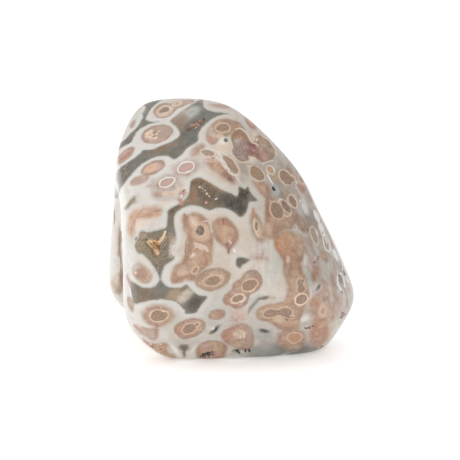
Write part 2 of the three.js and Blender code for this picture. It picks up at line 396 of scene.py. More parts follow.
# Bodies and stained zones that no ellipse fits: paint, softness of the edge, and the outline
ZONES = [
    ("tan pink", 0.15, [
        (153.4, 113), (154.5, 108.5), (158, 105), (164, 103), (170.5, 103.4), (176, 101.4), (184, 100.2),
        (192, 99.5), (194.5, 101.6), (188, 104.4), (181, 107.2), (177.4, 109), (173.4, 112.6), (169.4, 116),
        (163, 118), (157, 117.4),
    ]),
    ("clay", 0.35, [
        (183.4, 215.2), (190.3, 214), (194.3, 212), (202, 214.8), (207.5, 219.8), (211, 227), (213.4, 234),
        (213.4, 243), (212.4, 252), (211.8, 262), (208.5, 266), (203, 270), (197, 276), (195, 281.5),
        (186, 280.5), (179, 283), (172, 283.3), (170.8, 278), (172, 271), (175, 265.5), (180.5, 262.5),
        (184, 256), (186.2, 245), (186.6, 237), (183.6, 229), (182.4, 222),
    ]),
    ("clay", 0.3, [
        (212.8, 224), (217, 218.2), (223, 217), (229, 218.6), (234.5, 224.9), (238.2, 231), (239, 237.5),
        (236, 244), (231.5, 249), (229, 253.5), (227.6, 253), (226, 248.5), (219.6, 244), (214, 238),
        (212, 231),
    ]),
    ("tan", 0.35, [
        (131.8, 270), (134.4, 264.3), (139.5, 262.6), (145.3, 266.5), (150.3, 272), (152.2, 277), (150, 282),
        (144.5, 284), (138.5, 281.5), (134, 276.5),
    ]),
    ("tan", 0.55, [
        (141.2, 314), (144.7, 309.4), (150.4, 306), (157.3, 304.6), (164.8, 306), (170.5, 309.4),
        (174.5, 314), (173.4, 318.6), (169.4, 323.2), (162, 326.8), (154.4, 326.7), (148.7, 324.4),
        (143.7, 320),
    ]),
    ("rose tan", 0.2, [
        (173.4, 330.1), (175.1, 325.5), (179.7, 322.1), (186, 319.2), (193.5, 318), (200.4, 319.2),
        (205.5, 322.6), (205, 328), (202, 332.4), (196.9, 335.9), (190, 338.3), (184.3, 339.3), (178, 336.4),
    ]),
    ("tan", 0.2, [
        (195, 282), (196.6, 276.5), (202.1, 271.4), (209, 269), (215.9, 268), (222.8, 268.5), (229.7, 272.6),
        (230.3, 277.6), (227.4, 282.9), (222, 287.5), (215, 290.5), (207, 291), (200, 288.2), (195.8, 285.2),
    ]),
    ("rose tan", 0.2, [
        (222.6, 300.5), (224.5, 294.9), (229.5, 291), (232, 288.5), (232.6, 285), (235, 281.5), (240.6, 278),
        (243.5, 273.7), (248.6, 270.6), (254.5, 269.8), (259.5, 273), (262.6, 279.5), (262.4, 284.5),
        (259.5, 289), (255.5, 292.5), (250.5, 295), (249, 299), (246.5, 304), (241, 308), (235, 308.8),
        (230, 306), (225.5, 305),
    ]),
    ("rose tan", 0.3, [
        (220.8, 334.4), (223, 331), (228, 328), (234, 325.4), (240, 323.6), (246, 323.6), (250, 327),
        (253, 332), (254, 338), (253.4, 344), (251, 348.4), (245, 350), (237, 348.6), (229, 345.6),
        (224, 341.4), (221.4, 338),
    ]),
    ("brick", 0.3, [
        (196, 352), (197.5, 347), (201.9, 342.7), (209.4, 340.2), (218, 340.6), (224, 342.6), (227.5, 347),
        (226, 353), (222, 358), (200, 359),
    ]),
    ("tan pink", 0.4, [
        (133.4, 325), (141, 326.4), (147.6, 327.6), (152.6, 327.6), (155.6, 324.4), (158.6, 325),
        (158.4, 331), (157.4, 338), (153, 340), (147, 337.6), (141, 334.4), (137, 330.5),
    ]),
    ("clay", 0.4, [
        (142.6, 338.6), (147, 341.6), (152, 343.4), (158, 344), (165, 343.4), (167.6, 345.6), (167, 350),
        (170, 353), (175, 356), (176, 361), (160, 362), (148, 355),
    ]),
    ("clay", 0.3, [
        (255.5, 313.5), (257.5, 308.9), (263.5, 305.6), (270.6, 303.8), (278.6, 302.6), (285, 301),
        (289, 300), (293, 303), (300, 306), (303.5, 311), (301, 318), (298.5, 324), (291, 327.6),
        (282.6, 329.5), (277.5, 327.8), (272, 324), (266, 321.8), (260, 320.6), (256.5, 317.6),
    ]),
    ("clay", 0.65, [
        (277, 337.5), (279.5, 332.5), (285, 329.2), (292, 328.5), (300, 330.5), (305.5, 334.5), (306, 341),
        (303, 346), (296, 350), (286, 349.5), (279.5, 345),
    ]),
    ("clay", 0.4, [
        (274.4, 240), (276.5, 236), (282, 232), (288, 230.5), (294, 232.5), (300, 237.5), (304, 244),
        (305, 251), (303.6, 258), (301.5, 264), (303, 272), (306, 279), (308.5, 288), (309.5, 297),
        (306.5, 305), (300, 309), (292, 307), (284, 303.5), (286, 296), (287.6, 289), (286, 282),
        (283.4, 274), (283, 265), (281.6, 258), (279, 253.5), (275, 248),
    ]),
    ("tan", 0.3, [
        (206.4, 137), (206.6, 131.5), (209, 126.8), (213.6, 122.4), (218.8, 119.5), (224.5, 118.3),
        (231, 120), (237.7, 121.8), (242.3, 125.6), (245.5, 130.5), (241, 129), (236, 129.5), (232.5, 132),
        (230.5, 135), (226, 136.4), (221, 136.8), (218.8, 140), (215, 144), (210.5, 144.3), (207.4, 141),
    ]),
    ("brown", 0.15, [
        (231, 134.8), (233.4, 131.6), (237, 129.3), (240.6, 129), (244, 132), (247, 135.6), (249.6, 140.6),
        (253, 142.2), (255, 139), (257.5, 135.8), (261.8, 135.6), (266.5, 139), (270.5, 143.5),
        (274.3, 149), (275, 153.5), (273, 158), (270, 162.2), (265, 163), (259, 160), (254.6, 157),
        (250.4, 156.6), (247.5, 161), (243.5, 161.6), (238.9, 160.4), (234.9, 157), (232.3, 152.4),
        (232.8, 146.8), (231.5, 141),
    ]),
    ("orange", 0.6, [
        (205, 158.6), (209, 156.6), (215, 159.5), (221, 163.6), (226.5, 168.4), (231, 173), (234.6, 178.6),
        (235.2, 182.6), (231.5, 183.4), (225, 179.6), (218, 174.6), (211.5, 169), (207, 163.5),
    ]),
    ("rose tan", 0.4, [
        (252.5, 181.5), (256, 183), (260, 181.8), (266, 183), (270.5, 190), (271.5, 196), (274, 198),
        (280, 199), (287, 203), (294, 209), (298.5, 216), (296, 224), (291, 229.5), (284, 230.6), (277, 233),
        (271.5, 239), (266, 237.6), (259.6, 240.4), (260, 235), (263, 231), (265, 222), (264.8, 212),
        (265, 204), (264, 198), (260, 193), (256, 188),
    ]),
    ("warm peach", 0.5, [
        (128, 233), (127.6, 224), (129.5, 215.5), (134, 210), (141, 207.6), (150, 205.6), (158, 206.4),
        (162.4, 209.5), (161.5, 213.5), (157, 217), (150, 217.6), (143, 218.6), (137, 219.3), (134.5, 225),
        (133.5, 231), (131.5, 236.5),
    ]),
]

# Softer tones inside the bodies: paint, centre, half length, half width, tilt and softness
INNERS = [
    ("pale peach", 164.3, 111, 9, 5.2, 20, 0.3),
    ("pale peach", 177, 103.8, 6.2, 2.6, 18, 0.4),
    ("pink", 187.8, 102.4, 5, 1.8, 12, 0.5),
    ("tan pink", 161.5, 132.4, 10.5, 6, 15, 0.6),
    ("pale peach", 151.6, 134.6, 6.6, 3.6, 22, 0.8),
    ("pink", 158.4, 139.6, 7, 1.7, 14, 0.6),
    ("brick", 124.6, 156.6, 8, 1.6, 42, 0.7),
    ("warm peach", 151.6, 168.2, 8, 3.6, 24, 0.4),
    ("tan pink", 138.6, 180.6, 5, 1.6, 22, 0.7),
    ("pale peach", 168.3, 194.2, 7, 3.2, 0, 0.3),
    ("pale peach", 219.6, 136.4, 3.6, 2.8, 10, 0.4),
    ("salmon", 210.4, 138.6, 2.6, 4, 20, 0.4),
    ("rose tan", 139.6, 273.6, 5.6, 4.6, -20, 0.35),
    ("peach", 182.6, 273.1, 5, 3.2, 12, 0.35),
    ("light peach", 288.1, 259.6, 3.4, 2, 90, 0.35),
    ("peach", 268.6, 229, 3.6, 7, 5, 0.6),
    ("pale peach", 239.4, 334.2, 6.4, 4.2, 10, 0.45),
    ("peach", 280, 319.3, 7.5, 3.6, 6, 0.3),
    ("peach", 323, 310.6, 7.4, 4.8, 80, 0.4),
    ("peach", 257.4, 228.2, 9.6, 3.7, -73, 0.3),
    ("salmon", 253.6, 213.4, 5.4, 1.5, -84, 0.2),
    ("pale peach", 194.6, 223.4, 8.4, 3.4, -58, 0.6),
    ("peach", 201.2, 232, 9, 9.2, 0, 0.5),
    ("pink", 205.8, 346, 5, 2.4, 8, 0.5),
    ("tan pink", 248.6, 336, 9, 2.6, 85, 0.7),
    ("soft orange", 294.7, 337.7, 7, 5, 5, 0.25),
    ("peach", 300.6, 285, 9, 5, 94, 0.3),
]

# Cores: paint, centre, half length, half width, tilt, and the width and paint of the ring round them
CORES = [
    ("grey core", 164.2, 109.9, 5, 2.6, 20, 0, "peach"),
    ("apricot", 176.6, 103.8, 2.6, 0.9, 15, 0, "peach"),
    ("dusky pink", 185.9, 167.4, 7.6, 4.1, 22, 1.6, "ring white"),
    ("dusky pink", 167, 182.1, 7.3, 3.4, 22, 1.7, "ring white"),
    ("core", 223, 128, 6.8, 3.9, 0, 1.4, "peach"),
    ("stone tan", 207.6, 152.8, 6.3, 2.7, -10, 1.1, "pale peach"),
    ("core", 257.2, 173.6, 8.4, 4.9, -45, 1.3, "pale peach"),
    ("apricot", 270.4, 170.2, 4.3, 2.6, -50, 1.4, "ring white"),
    ("core", 285.9, 177.6, 8, 4.9, -50, 1.3, "pale peach"),
    ("core", 291.4, 178.8, 3.8, 2, -50, 1.3, "pale peach"),
    ("core", 292.5, 201.2, 6.4, 2.9, -62, 1.4, "pale peach"),
    ("core", 276.7, 210.4, 8.4, 5.2, -62, 2, "peach"),
    ("red brown", 285.9, 206.9, 7.6, 2.8, -55, 0.9, "pale peach"),
    ("tan", 314.4, 235.7, 6.6, 2.3, -72, 0, "cream"),
    ("tan pink", 326.4, 243, 5, 1.7, -72, 0, "cream"),
    ("olive brown", 200.2, 230.9, 4.6, 4.9, 0, 1.2, "cream"),
    ("core", 212.8, 280.6, 6.6, 4.6, 14, 0, "peach"),
    ("core", 249.5, 285.2, 7.2, 5.1, 25, 1.5, "peach"),
    ("brown", 237.7, 298.4, 6.3, 3.2, 22, 1.5, "pale peach"),
    ("core", 158.2, 315.8, 7.8, 5.1, 0, 1.3, "pale peach"),
    ("core", 164.8, 314.8, 2.8, 2.6, 0, 1.3, "pale peach"),
    ("brown", 189.5, 328.7, 7, 4.3, 18, 1.6, "peach"),
    ("brown", 197.9, 324.6, 1.6, 1.2, 20, 1.2, "pale peach"),
    ("core", 270.8, 313.2, 6.6, 4, 10, 1.3, "peach"),
    ("brown", 285.3, 312.2, 6.8, 4.5, 0, 1.3, "peach"),
    ("core", 278.4, 312.6, 4, 2.4, 0, 1.4, "peach"),
    ("core", 287.6, 316.8, 2.4, 1.6, 0, 0.5, "peach"),
    ("core", 301, 288.6, 4.4, 3.4, 70, 1.1, "peach"),
    ("core", 300, 283.8, 4.2, 2.8, 95, 1.1, "peach"),
    ("core", 302.2, 281.4, 2.2, 1.6, 40, 1.1, "peach"),
    ("core", 301.3, 299.3, 5.9, 4.5, 32, 1.5, "light peach"),
    ("orange", 195, 269.7, 2.6, 1.5, 42, 0, "peach"),
    ("soft orange", 322.8, 311, 2.8, 1.5, 85, 0, "peach"),
]

# Rings that stand clear of their cores: paint, centre, half length, half width, tilt and width
RINGS = [
    ("peach", 213, 280.3, 10.6, 5.9, 13, 1.5),
    ("peach", 195.2, 270, 5, 3.1, 42, 1.5),
    ("pale peach", 292.4, 316.8, 2.2, 2, 0, 1.1),
    ("ring tan", 201.2, 232, 7.6, 8, 0, 2.6),
    ("cream", 314.4, 236, 10.4, 4.5, -72, 2.2),
    ("bright white", 326.6, 243, 9.8, 3.6, -72, 2),
    ("bright white", 322, 231, 6.2, 2.5, -70, 1.3),
    ("cloud", 304.8, 208.4, 7.8, 3.2, -66, 1.2),
    ("pale peach", 208.6, 155.8, 8.4, 5.2, -25, 0.9),
    ("peach", 294.7, 337.7, 8.4, 6.2, 5, 2.1),
]

# Pale lines and seams: paint, width, and the points that they run through.
# The olive brown line along the groove behind the left edge is painted shade.
LINES = [
    ("warm cream", 1.3, [
        (231, 141), (232.2, 147), (231.8, 152.5), (234.5, 157.6), (238.8, 161), (243.5, 162.3), (248, 161.4),
    ]),
    ("warm cream", 1.4, [
        (236, 129), (240.4, 128.2), (244.6, 131.3), (247.8, 135), (250.3, 140.2), (252.4, 142.3),
        (256, 143.6), (258.6, 146),
    ]),
    ("warm cream", 1.2, [(262, 135.2), (267.5, 139.4), (271.5, 143.9), (274.8, 149), (275.6, 154)]),
    ("warm cream", 1.2, [(254.4, 132.9), (252.6, 137), (255, 139.6), (257, 141.2), (256.8, 138.4)]),
    ("ring white", 1.3, [
        (218, 152.6), (221, 157), (221.6, 160), (224.6, 162.6), (226.4, 166.6), (228.6, 169), (229.2, 172),
        (233, 174.6), (238, 175.4),
    ]),
    ("ring white", 0.9, [(206, 147.6), (212, 149), (217, 151.6), (222, 152.6), (227, 155)]),
    ("ring white", 0.9, [(213, 156.4), (218, 158.6), (222.6, 164), (226, 168.6)]),
    ("lilac white", 1, [(199, 161), (204, 157.4), (210, 157.6)]),
    ("warm cream", 0.9, [
        (224, 154.5), (229, 157.5), (233.4, 160.3), (237, 165.5), (239.6, 170.4), (238.6, 173.6),
    ]),
    ("bright white", 1.1, [(279.6, 206), (278.6, 201.5), (281, 199.5), (285, 202.2), (290, 207.5)]),
    ("light peach", 1.1, [(281.6, 212), (284.8, 215.2), (288.4, 216.2), (290.6, 214.2)]),
    ("light peach", 1, [(249, 292), (252.6, 291), (255.4, 288.6)]),
    ("ring white", 0.9, [(241, 302.4), (244.4, 300.2), (246, 297.2)]),
    # painted shade: the dark line in the groove behind the left edge
    ("olive brown", 0.9, [(120.4, 250), (120.8, 262), (121.2, 274), (121.6, 287)]),
    ("dark brown", 2.8, [(188.8, 130), (193, 126.6), (197.4, 124), (201, 121.8), (204, 119)]),
    ("bright white", 1.6, [(267.6, 174.8), (270, 179.5), (272.6, 183.4), (273.6, 186)]),
    ("bright white", 1.2, [(316.5, 215), (317.8, 218.5), (319.3, 223.5), (320.4, 227.5)]),
    ("bright white", 1, [(316.4, 230.4), (317.9, 235)]),
    ("bright white", 1.7, [(341, 273), (338.2, 276.5), (337.6, 281), (339.2, 286.5), (342.4, 291.5)]),
    ("bright white", 1.5, [(341, 273), (343.4, 277.5), (344.4, 282.5), (344.6, 287)]),
    ("bright white", 1, [(342.2, 268.5), (343.6, 273), (346, 278.5), (348, 282)]),
    ("peach", 0.9, [(143, 266.5), (148, 271.5), (150, 277), (148, 281.5)]),
    ("peach", 0.8, [(146, 270.5), (148, 275), (147, 279), (143.5, 281.5)]),
    ("cream", 1, [(203, 221.4), (208.4, 221.4), (211, 226), (212, 232)]),
    ("warm cream", 1.2, [(254.6, 218.6), (253.8, 224), (255.4, 231), (258.4, 237)]),
    ("tan", 1.2, [(139.4, 217), (146, 215.6), (153, 213.4)]),
    ("lilac", 1.4, [(158, 198.6), (168, 197.8), (180, 198.6)]),
    ("pale peach", 1, [(172.6, 329), (173.2, 336), (172.2, 342.4)]),
    ("pink", 1, [(229, 326), (237, 323.6), (246, 323.4)]),
    ("lilac white", 1, [(137, 332.6), (144, 337), (152, 341.6), (160, 343)]),
    ("brick", 1, [(186.4, 239), (185.6, 243), (186.2, 247), (185, 251), (185.6, 255), (184.8, 258)]),
    ("apricot", 0.9, [(149.4, 268), (152, 274), (151.4, 280)]),
    ("lilac white", 1.1, [(295.6, 185), (299, 192), (302, 199), (304, 203)]),
    ("brown glass", 0.8, [
        (135.4, 302.8), (146, 300.9), (157.4, 298.9), (172, 300.2), (179, 303.8), (184.4, 309.4),
    ]),
    ("salmon", 0.8, [(134.6, 232), (134.4, 224), (136, 218.5), (140, 214.6), (147, 213.4), (157, 212.6)]),
    ("ring white", 1.1, [(262, 163.6), (267, 162.2), (272.6, 160.4)]),
    ("tan", 0.8, [(243, 163.8), (250, 164.2), (256, 165.8), (261, 168.6)]),
    ("ring white", 1, [(236.6, 177), (238.6, 180.4), (241.4, 183.2)]),
]

# Marks that no ellipse fits, such as the crystals of the open pocket: paint, softness and outline.
# Their copper is lighter than the crystals' own orange: partly painted sheen of the glossy crystals.
CRYSTALS = [
    ("copper", 1, [
        (146.3, 241.2), (149.6, 239.8), (154, 240.3), (157.6, 239.2), (160.8, 237.6), (163, 234.8),
        (164.8, 231), (166.2, 231.4), (165, 235.4), (162.6, 239.6), (160, 242.6), (158, 244.6),
        (157.6, 247.4), (158.8, 250.8), (159, 253.8), (157.2, 255.4), (155, 253.2), (152.6, 249.6),
        (149.2, 246), (146.8, 243.8),
    ]),
]

# Glints and cracks on the small marks: paint, centre, half length, half width and tilt.
# The pale glints on the crystals of the open pocket and in the pits at the foot are painted highlights.
GLINTS = [
    ("rust", 157.6, 239.7, 2.2, 0.9, 20),
    ("rust", 154.6, 244.6, 0.5, 3.4, 50),
    ("rust", 157.4, 249, 0.6, 3, 20),
    # painted highlights: sparkles on the crystals of the open pocket
    ("ring white", 161, 239.8, 2.6, 0.9, 45),
    ("ring white", 165.2, 231.8, 1, 0.9, 0),
    ("dark brown", 158.6, 247.6, 0.5, 2.4, 15),
    ("pale peach", 206.2, 202.5, 1, 0.9, 0),
    # painted highlights: sparkles on the crystals of the open pocket
    ("pale peach", 151.6, 241.8, 3, 0.6, -5),
    ("pale peach", 154, 248, 0.6, 2.4, 40),
    ("bronze", 200.3, 231, 0.9, 0.9, 0),
    ("light peach", 163.6, 311.2, 2.2, 0.8, 0),
    # painted highlight: a sparkle in a pit at the foot
    ("ring white", 236.6, 350.4, 0.6, 0.5, 0),
    ("stone tan", 165, 314.6, 1.2, 1.1, 0),
    ("black", 273.9, 188.4, 2.6, 1.3, -70),
    # painted highlights: sparkles on the crystals of the open pocket
    ("pale peach", 148.6, 242.6, 1.2, 0.6, -20),
    ("pale peach", 152.2, 246, 1, 0.5, -40),
    ("ring white", 155.6, 251.6, 0.9, 0.6, 60),
    ("dark brown", 150.8, 244.6, 2, 0.4, -40),
    ("rust", 152.6, 241, 0.6, 1.6, 20),
    # painted highlight: a sparkle on the crystals of the open pocket
    ("ring white", 163.6, 236, 1.6, 0.6, 60),
    # painted highlights: sparkles in the dark pit at the foot
    ("ring white", 206.8, 352.6, 1.2, 0.8, 0),
    ("ochre", 204.6, 354.8, 0.7, 0.5, 0),
    ("ochre", 210.4, 353.6, 0.6, 0.5, 0),
]

# Small marks: paint, centre, half length, half width and tilt. The gold and green white flecks in the slot
# near the crown are painted glints on its crystals.
FLECKS = [
    ("mauve", 114.4, 217, 8, 0.7, 90),
    ("cloud", 275.8, 189.8, 6.4, 3, -68),
    ("white", 277.4, 190.4, 3.6, 1.5, -68),
    ("brown", 342.9, 315.3, 2.4, 2.2, 0),
    ("pale peach", 199.7, 186.9, 1.3, 1.1, 0),
    ("pale peach", 207.2, 193.4, 1.3, 0.9, -50),
    ("pale peach", 205, 190.5, 0.7, 0.7, 0),
    ("slate", 225.8, 140.2, 2.4, 2.1, -60),
    ("dark brown", 189.5, 129.3, 2.8, 1.1, 32),
    ("rust", 194.3, 125.2, 2.2, 1.4, 28),
    ("rust", 198.8, 122.6, 1.6, 1, 28),
    ("black", 191.6, 126.6, 1.3, 0.8, 30),
    ("black", 200.4, 123.8, 1.8, 0.8, 35),
    ("black", 203, 119.6, 1.2, 0.8, 40),
    # painted highlights: glints on the crystals of the slot near the crown
    ("gold", 200, 120.8, 0.8, 0.7, 0),
    ("gold", 196.2, 127.4, 2, 0.5, 32),
    ("gold", 193.2, 123.4, 0.8, 0.5, 32),
    ("mauve", 136, 238.6, 2.2, 1.1, 80),
    ("pale peach", 135.6, 272.8, 1.9, 1.5, 80),
    ("rust", 183.4, 190.6, 1.8, 0.8, 40),
    ("salmon", 179.6, 199, 1, 2, 20),
    ("salmon", 181.6, 201.8, 2, 0.9, -45),
    ("ring white", 244.4, 335.2, 2.8, 0.7, 80),
    ("ring white", 240.8, 337.2, 0.9, 0.7, 0),
    ("slate", 339.3, 275.7, 2, 1, -70),
    ("mauve", 340.6, 279.5, 3.6, 1.5, -75),
    ("dark brown", 344.2, 273, 3, 0.8, -72),
    ("red brown", 341.6, 292, 1.8, 0.9, -75),
    ("bright white", 337.8, 285.2, 2.2, 0.9, -70),
    ("flint", 314.6, 262, 1.3, 0.9, 0),
    ("rose", 318.6, 257, 1.6, 0.8, -60),
    ("pale pink", 315.4, 258, 2.6, 0.8, -75),
    ("rose", 317, 259.5, 1.8, 1, -60),
    ("black", 341, 318, 0.9, 0.7, 0),
    ("black", 345, 314, 0.9, 0.7, 0),
    ("dark olive", 295.2, 227.6, 0.9, 0.5, -45),
    ("bright white", 181, 196, 2.4, 0.8, 70),
    ("rust", 223.6, 220.4, 1.7, 1.1, -60),
    ("purple", 228.4, 251, 2.6, 0.7, 80),
    ("red brown", 206.2, 202.4, 2.4, 2.2, 0),
    ("bright white", 216.2, 198.8, 1.4, 0.6, 20),
    ("pale peach", 209.2, 196, 1.6, 0.6, -50),
    ("pale peach", 202.6, 188.6, 1, 0.5, -50),
    ("dark brown", 306.2, 328.2, 1.9, 0.8, 0),
    ("wine", 309.2, 327.8, 1.8, 1, -10),
    ("dark brown", 312.8, 326, 1.7, 0.7, 15),
    ("dark brown", 309.2, 326, 0.9, 0.5, 0),
    ("umber", 304, 327, 0.8, 0.5, 0),
    ("black", 236, 350.8, 2.6, 1.4, -28),
    ("black", 239.2, 353, 1.8, 1, -30),
    ("black", 232.8, 350.8, 1.1, 0.9, 0),
    ("black", 249.2, 350.6, 2.3, 1.1, 85),
    ("black", 245.4, 351, 1.4, 0.8, 80),
    ("purple", 152.2, 346.4, 2.4, 1.1, -30),
    ("rust", 160.6, 349, 1.6, 0.8, 20),
    ("pale peach", 150.4, 343.8, 0.8, 1.4, 30),
    ("pale peach", 160.5, 344.6, 1.2, 0.9, 0),
    ("pale peach", 157.8, 345.8, 0.8, 1.4, 0),
    ("rust", 154, 351.6, 1.8, 0.7, -35),
    ("ring white", 212.8, 328.4, 1.8, 1.4, 40),
    ("black", 321.8, 346.4, 1.8, 0.8, 25),
    ("black", 315.6, 348.6, 1.2, 0.9, 0),
    ("light peach", 146.6, 136.6, 1.5, 1, 10),
    ("light peach", 150.4, 138, 1.4, 0.9, 40),
    ("light peach", 152, 134.4, 1.6, 0.8, -20),
    ("light peach", 156.6, 134, 1.2, 1, 0),
    ("light peach", 158.6, 131.2, 1.8, 0.7, 25),
    ("light peach", 148.4, 133.4, 1, 0.6, 0),
    ("olive brown", 149.4, 135.4, 1.2, 0.8, 40),
    ("olive brown", 153.6, 136.6, 1.4, 0.7, -20),
    ("olive brown", 154.6, 132.2, 1.4, 0.6, 25),
    ("olive brown", 157.6, 132.8, 1, 0.6, 0),
    ("white", 160.4, 130.2, 1.4, 0.6, 30),
    ("rust", 223.4, 223.6, 0.6, 1.2, 0),
    ("rose", 184.8, 215, 1.2, 2, 20),
    ("black", 200.6, 356.2, 1, 0.8, 0),
    ("black", 202.8, 355, 0.9, 0.8, 30),
    ("black", 204.8, 356.6, 1.2, 0.8, 0),
    ("black", 208, 352.2, 0.9, 1.2, 40),
    ("black", 209.8, 354, 1.2, 0.9, 60),
    ("black", 211.6, 352, 0.8, 1, 0),
    ("black", 212.8, 354.8, 1, 0.9, 0),
    ("black", 208.6, 356.6, 1, 0.7, 0),
    ("dark olive", 286.6, 319.6, 1.6, 0.7, -20),
    ("dark olive", 284.6, 318.6, 0.8, 0.6, 0),
    ("light peach", 255, 134.6, 1.7, 0.9, -40),
    ("light peach", 257.4, 138.8, 1, 1.6, 0),
    ("ring white", 252.4, 158.4, 2.2, 0.8, -20),
    ("light peach", 249.6, 156.8, 1.4, 0.8, 30),
    ("light peach", 147, 133.4, 2.6, 1.4, 30),
    ("light peach", 151, 131.2, 2.6, 1, 25),
    ("light peach", 155, 137.8, 2.8, 1, 15),
    ("light peach", 150, 136.6, 2.4, 1, -30),
    ("rust", 191.4, 127.6, 2.6, 1, 30),
    ("rust", 196.6, 124.4, 2.6, 1.2, 30),
    ("black", 194.4, 126.6, 1.6, 0.7, 30),
    ("black", 187.4, 130.4, 1.6, 0.7, 20),
    ("rust", 200.8, 121.8, 2, 1.1, 40),
    # painted highlights: glints on the crystals of the slot near the crown
    ("gold", 202, 120.2, 0.7, 0.6, 0),
    ("green white", 199, 124.6, 0.7, 0.5, 0),
    ("black", 203.4, 355.8, 3, 1.3, 10),
    ("black", 209, 354.2, 2.4, 1.5, 35),
    ("black", 212.4, 352.4, 1.5, 1.1, 60),
    ("black", 206.4, 354.6, 1.4, 1, 0),
    ("white", 304.8, 208.2, 6, 1.7, -66),
    ("bright white", 316.6, 216.4, 6.6, 2, -66),
    ("bright white", 321, 227.2, 5.4, 1.9, -68),
    ("white", 326.2, 240.6, 3.4, 1.1, -70),
    ("bright white", 335.4, 255.2, 6.6, 1.9, -66),
    ("red brown", 343.2, 313.8, 2.6, 2, -50),
    ("umber", 341, 317.4, 1.5, 0.9, 30),
    ("bright white", 317.5, 233.2, 1.9, 0.6, -72),
    ("white", 323.8, 231.8, 2.2, 0.9, -68),
    ("red brown", 341.8, 291.6, 1.5, 0.8, -80),
]
